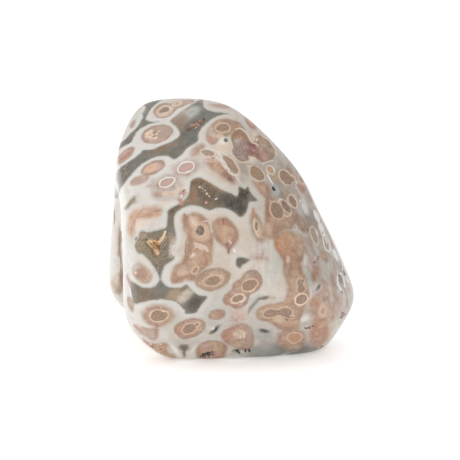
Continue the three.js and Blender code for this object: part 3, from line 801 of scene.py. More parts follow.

# Stains of each coat, one laid over another: paint, centre, half length, half width, tilt and strength.
# Some rows are painted light and shade: a painted reflection on the left front edge, painted shade in the
# groove behind it, painted sheen on the lobe beyond it, and painted shade on the lower front toward the
# foot.
GROUND_STAINS_AND_PAINTED_LIGHT = [
    ("white", 150, 165, 62, 45, 80, 1),
    ("white", 150, 300, 45, 35, 60, 0.8),
    ("pale stone", 225, 322, 62, 36, 0, 0.9),
    # painted reflection: the bright strip of the studio's light on the rounded left front edge
    ("bright white", 122.5, 235, 65, 4, 90, 0.9),
    # painted shade: the brown strip in the groove behind the left edge, and the shade under the lobe at its
    # foot
    ("glow", 119, 262, 30, 2.2, 90, 0.7),
    ("glow", 118.5, 292, 10, 4.5, -66, 1),
    ("olive brown", 122, 297, 5, 1.4, -66, 0.8),
    ("tan", 115, 283, 5, 3, 60, 0.8),
    # painted reflection: the grey-blue line along the right edge of that bright strip
    ("cloud", 126.4, 262, 16, 0.8, 88, 0.8),
    ("lilac", 178, 176, 14, 10, 20, 0.5),
    ("grey tan", 330, 245, 115, 30, -64, 1),
    ("grey tan", 290, 190, 34, 20, -55, 1),
    ("peach", 152, 220, 7, 2.6, 8, 0.8),
    ("bright white", 304.8, 317.6, 5, 3.8, 0, 0.9),
    ("bright white", 222, 141.5, 6, 4.5, 0, 0.8),
    ("warm cream", 251.6, 158, 5, 3.4, -20, 0.9),
    ("bright white", 304.3, 206, 7, 3.2, -66, 0.9),
    ("bright white", 316.5, 215.6, 6, 1.5, -66, 0.9),
    ("bright white", 321.7, 229.4, 6, 2.4, -70, 0.9),
    # painted shade: greyer and darker toward the foot, where the lower front faces down
    ("cloud", 275, 347, 24, 6, 0, 0.8),
    ("slate", 284, 351, 20, 3.5, 3, 0.9),
    ("warm cream", 174, 247, 8, 3.4, 84, 1),
    ("halo blue", 302, 181.8, 5, 1.8, -52, 1),
    ("bright white", 296.8, 182.4, 2.2, 1.2, -60, 0.9),
    ("cloud", 303, 196, 1.6, 1.2, 0, 0.9),
    ("slate", 313, 207, 2, 1.2, -60, 0.8),
    ("olive", 310, 221, 9, 4, -65, 0.5),
    ("lilac white", 335, 254.6, 8, 1.7, -65, 1),
    ("cloud", 309.5, 282, 9, 2, 88, 0.7),
    ("bright white", 310.3, 296, 7, 1, 84, 0.9),
    ("bright white", 343, 265.5, 4, 1, -65, 0.8),
    ("white", 344.4, 296, 6, 1.4, -80, 0.7),
    ("dark olive", 335.2, 302.5, 2.4, 0.8, -85, 0.8),
    ("slate", 332, 259.5, 5.5, 0.8, -57, 0.8),
    ("white", 303.8, 262.8, 4, 2.2, 0, 0.8),
    ("green white", 303.4, 257, 4, 2, 80, 0.8),
    ("lilac white", 318.5, 287.5, 5, 3.2, 56, 0.9),
    ("halo blue", 117.5, 197, 10, 4.5, 80, 0.8),
    ("lilac", 204, 164, 4.6, 3.4, 70, 1),
    ("grey tan", 243, 168, 10, 4, -60, 0.8),
    ("warm cream", 168, 204.4, 9, 3.4, 5, 0.8),
    ("lilac white", 258, 248, 5, 9, 0, 0.8),
    ("warm cream", 140, 229, 8, 2.4, 85, 0.8),
    ("clay", 319, 322, 24, 9, 85, 0.85),
    ("lilac", 305, 324, 10, 7, 60, 0.8),
    ("lilac white", 306, 308, 10, 2.4, 84, 0.7),
    # painted shade: greyer and darker toward the foot, where the lower front faces down
    ("slate", 272, 351, 32, 5.4, 2, 0.7),
    ("pale grey", 264, 341, 16, 6, 0, 0.8),
    ("lilac", 309, 343, 6, 7, 40, 0.8),
    ("pink", 238, 312, 6, 8, 0, 0.7),
    # painted shade: greyer and darker toward the foot, where the lower front faces down
    ("pale grey", 226, 355, 26, 2.4, 4, 0.8),
    ("halo blue", 174, 349, 5, 7, 20, 0.8),
    ("green white", 136, 118, 12, 5, 50, 0.8),
    ("grey tan", 139.5, 113, 3, 1.6, 20, 0.5),
    ("grey tan", 152.8, 186, 9, 3, 88, 0.6),
    ("salmon", 148.6, 186, 3.4, 1.4, 20, 0.6),
    ("lilac", 164, 126, 20, 12, 15, 0.5),
    ("green white", 130, 250, 34, 6, 88, 0.8),
    ("moss", 134, 200.4, 6, 3.2, 40, 0.9),
    # partly the lobe's own pale colour, partly painted sheen: whitens the grazing lobe left of the groove
    ("bright white", 112, 260, 30, 5, 90, 0.7),
    ("light peach", 147, 225, 12, 6.6, 0, 1),
    ("apricot", 150, 215.6, 11, 1.1, 8, 0.9),
    ("green white", 163, 217, 4.4, 9, 0, 1),
    ("pink", 170, 199, 14, 2.4, 0, 0.5),
    ("blue white", 243, 121, 9, 2, -60, 0.8),
    ("orange", 320, 335, 10, 8, 40, 0.8),
    ("bright white", 304.8, 317.8, 5.6, 3.8, 10, 1),
    ("bright white", 305.6, 210.6, 5, 1.8, -66, 1),
    ("cloud", 303.6, 204.6, 2.6, 1.6, -60, 0.9),
    ("bright white", 322, 231, 4, 1.4, -70, 0.7),
    ("grey tan", 318, 222, 14, 3, -66, 0.4),
    ("grey tan", 299, 206, 8, 2, -60, 0.6),
    ("slate", 254.4, 303.8, 9.5, 1.7, 48, 0.75),
    ("dark olive", 263.6, 297.8, 4.4, 1.5, 8, 1),
    ("ochre", 270.6, 297.6, 5, 1.1, 0, 0.7),
    ("slate", 249, 310.4, 4.4, 1.2, 75, 0.9),
    # painted shade: greyer and darker toward the foot, where the lower front faces down
    ("slate", 264, 334, 9, 4, 0, 0.4),
    ("slate", 276, 348, 36, 8, 2, 0.6),
    ("halo blue", 216, 304, 12, 4, 40, 0.7),
    ("white", 211.6, 327.4, 4, 2.4, 30, 0.8),
    ("pale pink", 246, 312, 8, 3, 80, 0.5),
    # painted shade: the dark line in the groove behind the left edge
    ("brown", 119.6, 258, 32, 1.25, 90, 0.9),
    ("olive", 128.4, 206, 5.5, 1.7, 48, 0.7),
    ("warm cream", 222.6, 147.6, 9, 7, -20, 0.8),
    ("bright white", 223.4, 141.2, 4, 3, 0, 0.8),
    ("light peach", 251.4, 158.4, 4.4, 2.6, -20, 1),
    # painted shade: greyer and darker toward the foot, where the lower front faces down
    ("flint", 284, 351.6, 30, 5, 4, 0.8),
    ("pale grey", 185, 342.4, 8, 3.4, 0, 0.6),
    ("pale grey", 150, 303.4, 9, 2.4, 0, 0.6),
    ("lilac", 166, 192.6, 14, 3, 0, 0.6),
    ("pink", 181.6, 184, 6, 3, 40, 0.6),
    ("light peach", 178, 190, 5, 2.4, 50, 0.6),
    # painted shade: the dark line in the groove behind the left edge
    ("umber", 120.7, 258, 30, 0.9, 92, 0.8),
    ("grey tan", 108.8, 266, 5, 0.9, 88, 0.8),
    ("olive", 129.6, 306, 11, 2.4, 113, 0.8),
    ("dark olive", 129.6, 303, 4, 1.4, 113, 0.7),
    ("ochre", 134, 299.6, 7, 0.9, 108, 0.5),
    ("olive", 184, 347.4, 4.6, 2.6, 0, 0.85),
    ("slate", 184.2, 351.6, 4.2, 1.7, 88, 0.9),
    ("mauve", 184.2, 346.4, 1.8, 1.1, 0, 0.6),
    ("dark olive", 215.6, 329.4, 6.6, 1.6, 42, 1),
    ("ochre", 211, 332.4, 2.6, 1.3, 30, 0.8),
    # painted shade: greyer and darker toward the foot, where the lower front faces down
    ("cloud", 262, 334, 12, 5, 0, 0.6),
    ("dark olive", 264.2, 330.8, 4.6, 1.7, -12, 1),
    ("olive brown", 264.4, 298, 3.6, 1.6, 10, 0.9),
    # painted shade: greyer and darker toward the foot, where the lower front faces down
    ("pale grey", 262, 343, 18, 5, 0, 0.5),
    ("slate", 268, 349, 26, 4, 0, 0.4),
    ("lilac white", 299, 230.6, 10, 2.6, -38, 0.8),
    ("white", 296.4, 227.4, 6, 1.2, -40, 0.8),
    ("white", 306.4, 261, 3.4, 5, 0, 0.7),
    ("dark olive", 318.4, 287, 3.6, 1.4, 56, 1),
    ("white", 325.4, 268, 9, 3, 84, 0.7),
    ("grey tan", 337, 248, 24, 3, -66, 0.5),
    ("rose tan", 277, 234.6, 6, 3.4, 30, 0.9),
    ("clay", 275.4, 238, 3.4, 4.6, 0, 0.7),
    ("cream", 291.6, 228, 5, 2.2, 10, 0.6),
    # painted shade: the dark line in the groove behind the left edge
    ("brown", 120.3, 252, 10, 1.3, 92, 0.8),
    ("brown", 121.6, 284, 7, 1.4, 100, 0.7),
    ("cream", 112, 285, 9, 5, 70, 1),
    # painted shade under the lobe, near the crease at its foot
    ("tan", 115, 287, 6, 2.6, -60, 0.5),
    ("moss", 131, 202, 9, 2, 46, 0.7),
    ("cream", 178.6, 248.6, 8, 2, 84, 0.5),
    ("umber", 184, 347.6, 5, 2.8, 0, 0.7),
    ("flint", 184.2, 353.4, 4.6, 1.6, 88, 0.8),
    ("bright white", 175.4, 350.4, 8, 2, -52, 0.9),
    ("bright white", 192, 351, 7, 1.8, 58, 0.7),
    ("dark olive", 214.8, 329.6, 5.6, 2.2, 42, 0.9),
    ("white", 163, 336.4, 6, 5, 0, 0.8),
    ("white", 337, 255.4, 7, 2, -64, 0.8),
    ("white", 338, 275, 5, 1.2, -86, 0.8),
    ("pale grey", 336, 299, 12, 3, 84, 0.6),
    ("cloud", 308.6, 280, 18, 2, -86, 0.7),
    ("tan", 175, 166, 6, 3, 20, 0.3),
    ("clay", 288, 327.4, 10, 3, 0, 1),
    ("tan", 296, 325, 5, 4, 0, 0.8),
    # painted shade: greyer and darker toward the foot, where the lower front faces down
    ("cloud", 263, 350.4, 17, 5, 0, 0.5),
    ("soft orange", 320, 331, 6, 12, 0, 0.5),
    ("white", 270, 143.4, 4.5, 3, -50, 0.8),
    ("lilac", 278.6, 151.6, 8, 3, -52, 0.85),
    ("lilac", 283, 158, 6, 3, -60, 0.5),
    ("ochre", 268, 173, 4, 6, 70, 0.45),
    ("moss", 283, 194.6, 4, 4, 0, 0.7),
    ("ochre", 290, 205, 5, 5, 0, 0.5),
    ("tan", 262, 241, 7, 5, 0, 0.4),
    ("ochre", 297.6, 240, 4, 8, 0, 0.8),
    ("pink", 312, 262, 5, 9, 0, 0.8),
    ("pale grey", 326, 266, 7, 12, 0, 0.7),
    ("tan pink", 318, 275, 4, 7, 0, 0.6),
    ("rose tan", 331, 300, 4, 8, 0, 0.55),
    ("tan pink", 341, 301, 5, 7, 0, 0.5),
    ("lilac white", 350, 291, 5, 8, 0, 0.4),
    ("grey tan", 303, 311, 4, 5, 0, 0.6),
    ("ochre", 301, 304, 4, 5, 0, 0.5),
    ("grey tan", 306.4, 309.6, 4, 3.4, 0, 0.7),
    ("warm cream", 246.4, 267.4, 4, 3, 0, 0.6),
    ("amber glass", 178.8, 304.8, 3, 2, 45, 0.5),
    ("warm peach", 150, 222, 8, 4, 0, 0.45),
    ("grey tan", 240, 181, 6, 4, 0, 0.5),
    ("clay", 216, 166.6, 5, 4, -30, 0.5),
    ("red brown", 222.4, 172.4, 5, 3, -35, 0.35),
    ("grey tan", 133.6, 240, 3, 5, 0, 0.6),
    ("pale grey", 165, 303.4, 7, 2, 0, 0.5),
    ("cloud", 125, 268, 4, 10, 0, 0.4),
    ("grey tan", 215, 325.4, 5, 3, 0, 0.4),
    ("grey tan", 307, 323.6, 6, 2.4, 0, 0.5),
    ("pink", 311, 315, 3.6, 6, 0, 0.5),
]

WINDOW_STAINS_AND_PAINTED_SHEEN = [
    ("beige glass", 180, 119, 13, 9, 40, 1),
    ("pale grey", 186, 111, 8, 4, 35, 0.6),
    ("cloud", 193.5, 112, 7.5, 5.5, 30, 1),
    ("slate", 207, 115, 12, 3.6, 12, 0.9),
    ("dark olive", 195, 127, 12, 4, 30, 0.5),
    ("slate", 191, 137, 12, 7, 60, 0.7),
    ("dark olive", 125, 172, 9, 5, 55, 0.5),
    ("brown glass", 152, 152.2, 9, 2, 14, 0.7),
    ("brown glass", 166, 147.2, 9, 2, 18, 0.7),
    ("brown glass", 177, 142, 5, 2, 40, 0.5),
    ("dark brown", 122.5, 172, 4, 1.8, 60, 0.6),
    ("dark olive", 132, 140, 5, 2, 45, 0.4),
    ("olive brown", 205, 190, 20, 10, -25, 1),
    ("brown glass", 192.4, 194, 7, 3, 80, 1),
    ("amber glass", 212, 184.4, 9, 2, -30, 0.8),
    ("dark olive", 235, 204, 11, 7, -20, 1),
    ("dark olive", 243.5, 195, 8, 5, 70, 0.9),
    ("dark brown", 240.5, 213, 3, 3, 0, 0.7),
    ("brown glass", 183, 203.6, 7, 2.4, 20, 0.8),
    ("amber glass", 143, 236, 7, 4, 20, 0.8),
    ("dark olive", 145.5, 249, 5, 3.4, -30, 0.6),
    ("dark olive", 151, 238, 6, 2.4, 0, 0.5),
    ("warm cream", 175, 246, 8, 3, 82, 1),
    ("brown glass", 142, 300, 9, 2.4, 0, 0.6),
    ("amber glass", 178, 292.5, 8, 4.6, 0, 1),
    ("cream", 186, 295, 9.5, 4.2, 42, 0.9),
    ("dark olive", 196.5, 304, 8, 6.5, 40, 0.8),
    ("dark olive", 241, 262, 6, 5, 0, 0.3),
    ("olive brown", 147.5, 236, 5, 3.4, 0, 0.9),
    ("ochre", 140.6, 244, 4.6, 4, 0, 0.9),
    ("dark brown", 160.6, 248, 7, 2, 80, 0.8),
    ("dark brown", 149, 252, 7, 2.6, -42, 0.6),
    ("ochre", 170.6, 243, 8, 2.6, 82, 0.8),
    ("olive brown", 158, 262, 9, 6, 60, 0.7),
    ("olive brown", 166, 232, 6, 3, 60, 0.6),
    ("brown glass", 194, 194, 8, 3, 85, 1),
    ("amber glass", 216, 187.6, 9, 1.8, -28, 0.8),
    ("dark brown", 180, 206, 9, 2, 22, 0.6),
    ("olive brown", 171.5, 218, 10, 4, 80, 0.9),
    ("olive brown", 200, 184, 8, 4, 0, 0.7),
    ("cloud", 142, 111, 6, 4, 20, 0.9),
    ("pale grey", 187, 114, 10, 5, 35, 0.8),
    ("lilac", 187.4, 112.6, 4, 2.4, 35, 0.6),
    ("moss", 152, 246, 19, 15, 0, 0.85),
    ("ochre", 172, 250, 9, 3.4, 80, 0.9),
    ("umber", 204, 190, 15, 8, -22, 0.75),
    ("bronze", 193, 194.4, 8, 4, 85, 0.8),
    ("deep olive", 232, 203, 15, 6.5, -18, 0.7),
    ("deep olive", 243, 197, 9, 5.5, 70, 0.5),
    ("bronze", 214, 185.6, 13, 1.5, -29, 0.75),
    ("bronze", 197, 180, 5, 1.4, 10, 0.6),
    ("dark olive", 122, 178, 8, 4, 60, 0.6),
    ("brown glass", 181, 120, 7, 4, 50, 0.6),
    ("halo blue", 194, 111, 6.5, 3.2, 30, 0.8),
    ("slate", 205, 115.6, 9, 2.6, 14, 0.7),
    ("umber", 241, 262, 7, 5, 0, 0.5),
    ("umber", 149, 295, 14, 5, 0, 0.3),
    ("ochre", 142, 236, 5, 3.4, 15, 0.9),
    ("ochre", 138.4, 247, 4, 4.6, 0, 0.7),
    ("slate", 166, 250, 11, 2.4, 86, 0.5),
    ("warm cream", 174, 246.4, 7, 2.4, 84, 0.8),
    ("slate", 168.8, 223, 9, 2.2, 86, 0.5),
    ("umber", 173.4, 209.4, 5.4, 2.6, 40, 0.7),
    ("brown glass", 146, 300.2, 9, 1.6, 6, 0.8),
    ("ochre", 174, 296.6, 8, 4.6, 0, 0.6),
    ("slate", 136, 162, 24, 7, 40, 0.5),
    ("slate", 128, 146, 14, 4, 45, 0.5),
    ("slate", 148, 108, 8, 4, 45, 0.5),
    ("dark olive", 190, 132, 14, 8, 50, 0.35),
    ("halo blue", 115.4, 190, 7, 3, 78, 0.7),
    # partly the lobe's own pale colour, partly painted sheen: whitens the grazing lobe in this coat too
    ("bright white", 112, 260, 30, 5.4, 90, 0.9),
    ("pale peach", 171.6, 250, 8, 2.4, 84, 0.7),
    ("cream", 174, 245, 6, 2.4, 80, 0.8),
    ("cream", 183, 297, 8, 3.6, 40, 0.7),
    ("brown", 198, 306, 4, 3, 0, 0.2),
    ("deep olive", 194, 304, 9, 6, 50, 0.35),
    ("pale peach", 143, 236, 4.6, 2.6, 15, 0.5),
    ("slate", 189, 137, 7, 4, 50, 0.5),
    ("flint", 240, 201, 7, 4, 0, 0.3),
    ("umber", 213, 203.6, 12, 5, 0, 0.5),
    ("brown glass", 196, 201, 5, 5, 0, 0.5),
    ("slate", 155, 288, 7, 3, 0, 0.6),
    ("amber glass", 173, 298, 6, 4, 30, 0.4),
]

BODY_STAINS_AND_PAINTED_LIGHT = [
    ("orange", 237, 134, 5.5, 3.4, -20, 0.6),
    ("mauve", 240.4, 151.4, 8.5, 9, 0, 1),
    ("purple", 253.2, 148, 7.5, 5, -40, 1),
    ("grey core", 268, 149, 10, 6, -52, 0.9),
    ("orange", 213.5, 160.6, 7, 3.4, -35, 0.8),
    ("brown", 236, 123.4, 9, 2.6, -12, 0.7),
    ("tan", 292, 285, 7, 22, 2, 0.8),
    ("orange", 316, 305, 5, 6, 0, 0.5),
    ("salmon", 213.5, 346, 9, 4, 8, 0.5),
    ("tan", 218, 315.4, 7, 3.6, 12, 0.5),
    ("tan", 196, 262, 12, 7, 85, 0.6),
    ("orange", 299.6, 185.6, 2.5, 2, 0, 1),
    ("brick", 304, 190.6, 2.6, 2, 0, 0.8),
    ("rose tan", 298, 218, 6, 4, -60, 0.8),
    ("purple", 228.6, 246, 5, 4, 80, 0.5),
    ("brick", 216, 222, 3, 4, 0, 0.5),
    ("rose tan", 236.6, 238, 3, 7, 70, 0.6),
    ("lilac", 136.6, 267, 6, 5, 30, 0.9),
    ("salmon", 173, 279, 5, 3, 60, 0.8),
    ("tan", 184, 270, 8, 5, 20, 0.6),
    ("ochre", 219.5, 137.6, 4, 3, 0, 0.7),
    ("apricot", 284, 237.4, 6, 3, 35, 0.9),
    ("ochre", 290, 235.6, 7, 3.4, -25, 0.9),
    ("clay", 294, 250, 8, 7, 0, 0.9),
    ("rose tan", 283.6, 259, 6, 3, 80, 0.6),
    ("clay", 268, 212, 12, 3, 80, 0.8),
    ("apricot", 267, 224, 8, 3, 85, 0.5),
    ("orange", 313.4, 268, 2.4, 3, 0, 0.6),
    ("brick", 156.6, 331, 8, 2, 88, 1),
    ("brick", 153, 312, 12, 6, 20, 0.5),
    ("ochre", 170, 316, 5, 8, 0, 0.8),
    ("tan pink", 144, 317, 4, 7, 0, 0.7),
    ("orange", 180, 330, 6, 6, 0, 0.6),
    ("ochre", 201, 327, 5, 6, 0, 0.7),
    ("clay", 225, 300, 5, 6, 0, 0.8),
    ("brick", 238, 307, 8, 2.4, 0, 0.9),
    ("mauve", 252, 272, 9, 4, -10, 0.7),
    ("tan", 241, 343.6, 9, 4.4, 0, 0.8),
    ("brick", 228, 334, 6, 6, 40, 0.8),
    ("ochre", 217, 347, 7, 5, 0, 0.9),
    ("ochre", 259, 312, 5, 7, 0, 0.8),
    ("apricot", 290, 322, 9, 4, 10, 0.7),
    ("apricot", 273, 305, 14, 2.4, 5, 0.5),
    ("rose tan", 282, 334, 6, 6, 0, 0.7),
    ("ochre", 292, 348, 12, 3.4, 0, 0.9),
    ("ochre", 170, 354, 5, 4, 0, 0.8),
    ("apricot", 157, 350, 8, 5, -10, 0.5),
    ("brick", 157.6, 210.6, 4.4, 1.3, 10, 0.9),
    ("brick", 134.2, 221.6, 1.6, 2.6, 0, 0.7),
    ("apricot", 152, 215, 9, 1.4, 8, 0.9),
    ("salmon", 131.4, 230, 2.4, 6, 0, 0.5),
    ("sienna", 238.5, 135.4, 7, 5, -30, 0.9),
    ("slate", 235.4, 140.6, 3.6, 2.6, 0, 0.7),
    ("mauve", 240.4, 152.4, 8, 8, 0, 1),
    ("wine", 253.8, 148.6, 9, 5, -42, 1),
    ("salmon", 262, 157, 6, 4, -40, 0.9),
    ("olive brown", 270.4, 149, 6, 3, -60, 0.6),
    ("brown", 232, 122.4, 11, 2.6, -10, 1),
    ("pink", 209.4, 137, 4, 7, 0, 0.9),
    ("red brown", 229.6, 178, 8, 3.4, -45, 1),
    ("apricot", 225, 231, 6, 3.6, 75, 0.9),
    ("wine", 228, 247, 5, 2.6, 80, 0.7),
    ("apricot", 210.4, 256, 8, 2.4, 86, 0.6),
    ("apricot", 197, 258, 9, 7, 85, 0.35),
    ("tangerine", 283, 244.6, 9, 7.4, 60, 0.75),
    ("ochre", 290, 235.4, 8, 3.4, -25, 0.8),
    ("light peach", 289, 238.6, 8, 3, -28, 0.5),
    ("orange", 290, 248, 8, 9, 0, 0.8),
    ("ochre", 301.4, 246, 10, 3, -80, 0.9),
    ("mauve", 286.6, 268, 8, 3, 80, 0.45),
    ("sienna", 294, 268, 12, 5, 85, 0.4),
    ("sienna", 268.6, 226, 8, 3.4, 85, 0.5),
    ("grey core", 301.8, 223.6, 9.6, 4.4, -60, 1),
    ("orange", 318, 303, 4, 6, 60, 0.7),
    ("brick", 226, 333, 8, 4, 40, 0.8),
    ("grey tan", 143.4, 315.6, 3, 6, 0, 0.7),
    ("orange", 204, 350, 8, 3, 8, 0.6),
    ("pale pink", 130.6, 224, 10, 2.6, 88, 0.8),
    ("tangerine", 158.6, 215, 3, 2, 0, 0.7),
    ("pink", 146, 209.6, 12, 1.8, 8, 0.6),
    ("wine", 258, 151, 6, 4, -40, 0.6),
    ("tan", 236, 124, 8, 3, -12, 0.5),
    ("warm peach", 262, 187, 6, 4, -40, 0.4),
    ("brown", 266.6, 204, 9, 3, 86, 0.7),
    ("brown", 186, 224, 8, 3.4, 86, 0.5),
    ("rose", 281, 338, 4.6, 7, 0, 0.6),
    ("pale pink", 139, 180, 9, 3.4, 22, 0.45),
    ("pale pink", 124.6, 157, 9, 3.4, 42, 0.35),
    ("pale pink", 156.4, 140, 7, 2.4, 15, 0.5),
    # partly the lobe's own pale colour, partly painted sheen: whitens the grazing lobe in this coat too
    ("bright white", 112, 260, 30, 5.4, 90, 0.9),
    # painted shade: the dark line in the groove behind the left edge
    ("umber", 120.7, 258, 30, 0.9, 92, 0.8),
    ("lilac", 146, 332, 9, 4.6, -20, 0.6),
    ("light peach", 165.6, 347.6, 4, 2, 0, 0.3),
    ("orange", 158, 350, 10, 5, -14, 0.5),
    ("ochre", 218, 347.4, 6, 4, 0, 0.6),
    ("red brown", 224.6, 346, 2.6, 4, 0, 0.6),
    ("orange", 228, 336, 6, 5, 40, 0.5),
    ("stone tan", 292, 347.6, 12, 3, 0, 0.6),
    ("pale peach", 298.4, 234.6, 6, 2.4, -40, 0.6),
    ("apricot", 285.6, 240.6, 6, 3.6, 20, 0.7),
    ("pink", 140, 329.6, 7, 3.6, -20, 0.8),
    ("clay", 294, 244.6, 4, 6, 0, 0.6),
    ("clay", 231, 234, 4.4, 10, 0, 0.7),
    ("apricot", 194, 221, 7, 4, 40, 0.5),
    ("umber", 231, 180.6, 7, 2.2, -45, 0.35),
    ("light peach", 208, 158, 4.4, 2.2, -30, 0.6),
    ("lilac", 210.6, 132, 4, 7, 20, 0.7),
    ("warm cream", 213.4, 137.4, 4, 3.4, 0, 0.5),
    ("ochre", 272.5, 152, 5, 3, -50, 0.6),
    ("pale pink", 142.6, 171, 4, 5, 0, 0.5),
    ("pale pink", 160.6, 169, 4, 5, 0, 0.5),
    ("pale pink", 184, 270, 4, 6, 60, 0.3),
    ("clay", 289, 346, 12, 4, 0, 0.4),
    ("tangerine", 285, 239.6, 6, 5, 0, 0.6),
    ("apricot", 298, 240, 4, 8, 0, 0.5),
    ("clay", 216, 166.6, 5, 4, -30, 0.5),
    ("red brown", 222.4, 172.4, 5, 3, -35, 0.35),
    ("rose tan", 205, 250, 5, 6, 0, 0.35),
    ("violet grey", 240.2, 150.4, 8, 7.6, 0, 0.8),
    ("lilac", 236.6, 141.4, 2.6, 3, -40, 0.5),
    ("plum", 253.4, 148.8, 6, 3.8, -42, 0.6),
    ("wine", 259.4, 154.4, 6, 3, -42, 0.5),
    ("pink", 262, 146.6, 2.4, 4, -50, 0.6),
    ("dusky pink", 264.6, 158.4, 4, 2.4, -42, 0.5),
]

RING_STAINS_AND_PAINTED_SHEEN = [
    # partly the lobe's own pale colour, partly painted sheen: whitens the grazing lobe in this coat too
    ("bright white", 112, 260, 30, 5.4, 90, 0.9),
]

CORE_STAINS = [
    ("ochre", 254.6, 172.4, 8, 6, -50, 0.3),
    ("ochre", 258, 176, 6, 5, -50, 0.2),
]

STAINS_AND_PAINTED_LIGHT = {
    "ground": GROUND_STAINS_AND_PAINTED_LIGHT,
    "window": WINDOW_STAINS_AND_PAINTED_SHEEN,
    "body": BODY_STAINS_AND_PAINTED_LIGHT,
    "ring": RING_STAINS_AND_PAINTED_SHEEN,
    "core": CORE_STAINS,
}

# Gritty patches: centre, half length, half width, tilt and strength
GRIT = [
    (240.4, 151, 8, 8, 0, 0.9),
    (203, 189, 11, 7, -20, 0.5),
    (193, 196, 5, 7, 0, 0.5),
    (163, 250, 9, 12, 80, 0.9),
    (144, 246, 10, 7, -40, 0.9),
    (142, 236, 8, 5, 0, 0.6),
    (147, 294, 10, 4, 0, 0.6),
    (123, 172, 8, 5, 60, 1),
    (196, 124, 10, 4, 30, 0.4),
    (240, 200, 12, 9, 0, 0.15),
    (249, 186, 6, 6, 0, 0.15),
    (213, 346, 9, 4, 8, 0.8),
    (160, 348, 9, 6, 0, 0.8),
    (158.5, 315.8, 9, 6, 0, 0.5),
    (189.5, 328.7, 8, 5, 18, 0.3),
    (222.8, 128.2, 7, 4, 0, 0.5),
    (182, 196, 8, 8, 0, 0.4),
    (200, 231, 5, 5, 0, 0.6),
    (285, 313, 9, 6, 0, 0.4),
    (160.5, 249, 8, 2.6, 80, 1),
    (148, 250, 8, 3.4, -42, 1),
    (158, 264, 9, 5, 85, 0.9),
    (170, 240, 10, 3, 85, 0.6),
    (145, 236, 7, 4, 0, 0.6),
    (324, 256, 8, 4, -60, 0.5),
    (310, 220, 12, 5, -65, 0.6),
    (207, 353.6, 8, 4, 10, 1),
    (158, 350, 10, 5, 0, 1),
    (306, 318, 8, 8, 0, 0.4),
    (308, 338, 7, 12, 0, 0.2),
    (287, 319, 5, 4, 0, 0.8),
    (312, 225, 16, 8, -65, 0.5),
    (306.4, 316, 7, 7, 0, 0.6),
    (330, 268, 24, 9, -70, 0.35),
    (300.6, 287, 6, 4, 85, 0.5),
    (314.4, 235.8, 7, 3, -72, 0.5),
    (283, 208, 12, 8, -60, 0.35),
    (239, 334, 6, 5, 0, 0.8),
    (243, 343, 8, 4, 0, 0.7),
    (206, 354.6, 8, 3, 6, 1),
    (290, 323, 8, 5, 0, 0.5),
]

# Streaked ground: centre, half length, half width and tilt of the patch, the streaks' own tilt, and strength
STREAKS = [
    (268, 262, 34, 14, 85, 86, 0.1),
    (328, 262, 90, 24, -65, -70, 0.1),
    (340, 290, 50, 14, -85, -82, 0.1),
    (121, 250, 60, 9, 88, 90, 0.05),
    (280, 347, 30, 8, 0, -8, 0.025),
]

# The stone's hidden sides, with sizes in millimetres. A body is the soft outline round one to three cores.
SEED = 7
HIDDEN_BODIES = 80  # the most that are kept
HIDDEN_TRIES = 900
HIDDEN_SHRINK = 0.55  # how much smaller the last try is than the first
HIDDEN_FACING = -0.1  # bodies are centred only where the surface faces away more than this
SHOULDER_FACING = 0.1  # the same on the right shoulder, where the photograph shows little
BODY_MARGIN = (0.5, 1.9)  # from the cores to the body's edge
BODY_RIM = 1.1  # what a body reaches past its margin
BODY_OVERLAP = 0.82  # how near two bodies come, against their reaches
BODY_LUMPS = 0.32
BODY_SURROUNDINGS = 6  # how far past a body its edge is worked out
BODY_CLEARANCE = 1.2  # from the bodies of the front to the middles of hidden ones
WINDOW_CLEARANCE = 0.8
HIDDEN_SOFTNESS = (0.18, 0.4)
EXTRA_CORES = 2.6  # the largest body has this many cores more than one, cut to a whole number
CORE_REACH = (0.8, 1.75)  # half lengths
CORE_STRETCH = (0.55, 0.88)  # half width against half length
CORE_DEPTH = 2  # half of a core's height, square to the surface
CORE_LUMPS = 0.12
CORE_SPACING = 2.3
CORE_SPACING_SWAY = (0.85, 1.15)
CORE_SWAY = 0.6  # how far a core is from the row's line at most
CORE_TURN = 0.7  # how far it is turned, in radians
MERGING = 2.2  # how crisply the outlines round a body's cores merge
RING_WIDTH = (0.16, 0.36)
GLOW_WIDTH = (0.5, 0.9)  # the softer tone outside the ring
GLOW_SHARE = 0.7  # where that tone's edge is, against its width
GLOW_LUMPS = 0.2
GLOW_SOFTNESS = 0.35
INNER_LOT = 0.25  # a body draws a lot from 0 to 1, and has the softer tone above this
THIN_RING_LOT = 0.45  # and a second, thin ring below this
THIN_RING = 0.09  # half its width
HIDDEN_HALO = 1.1  # the pale band between a body and a window
HIDDEN_FADE = (0.4, 3.5)  # from the photographed part to where the hidden sides' clouds start and are full
SHORE = 1.3  # from the photographed part to the hidden windows and seams
SHORE_SWAY = 1.6
NEAREST_SHORE = 0.3  # the least that the sway leaves of it
HIDDEN_FLECKS = 60
FLECK_SIZE = (0.15, 0.42)
HIDDEN_FLOW = [[0.45, 0, 0.05], [0, 0.45, 0], [0.05, 0.04, 0.09]]  # turns points so that noise makes streaks
HIDDEN_PAINTS = ["clay", "rose tan", "tan", "brick", "tan pink", "clay", "rose tan", "pink"]
HIDDEN_INNERS = ["peach", "tan", "apricot", "peach", "pale peach"]
HIDDEN_CORES = ["core", "brown", "pink core", "clay", "grey core", "core"]
HIDDEN_SPECKS = ["dark brown", "rust", "bright white", "olive brown", "slate"]

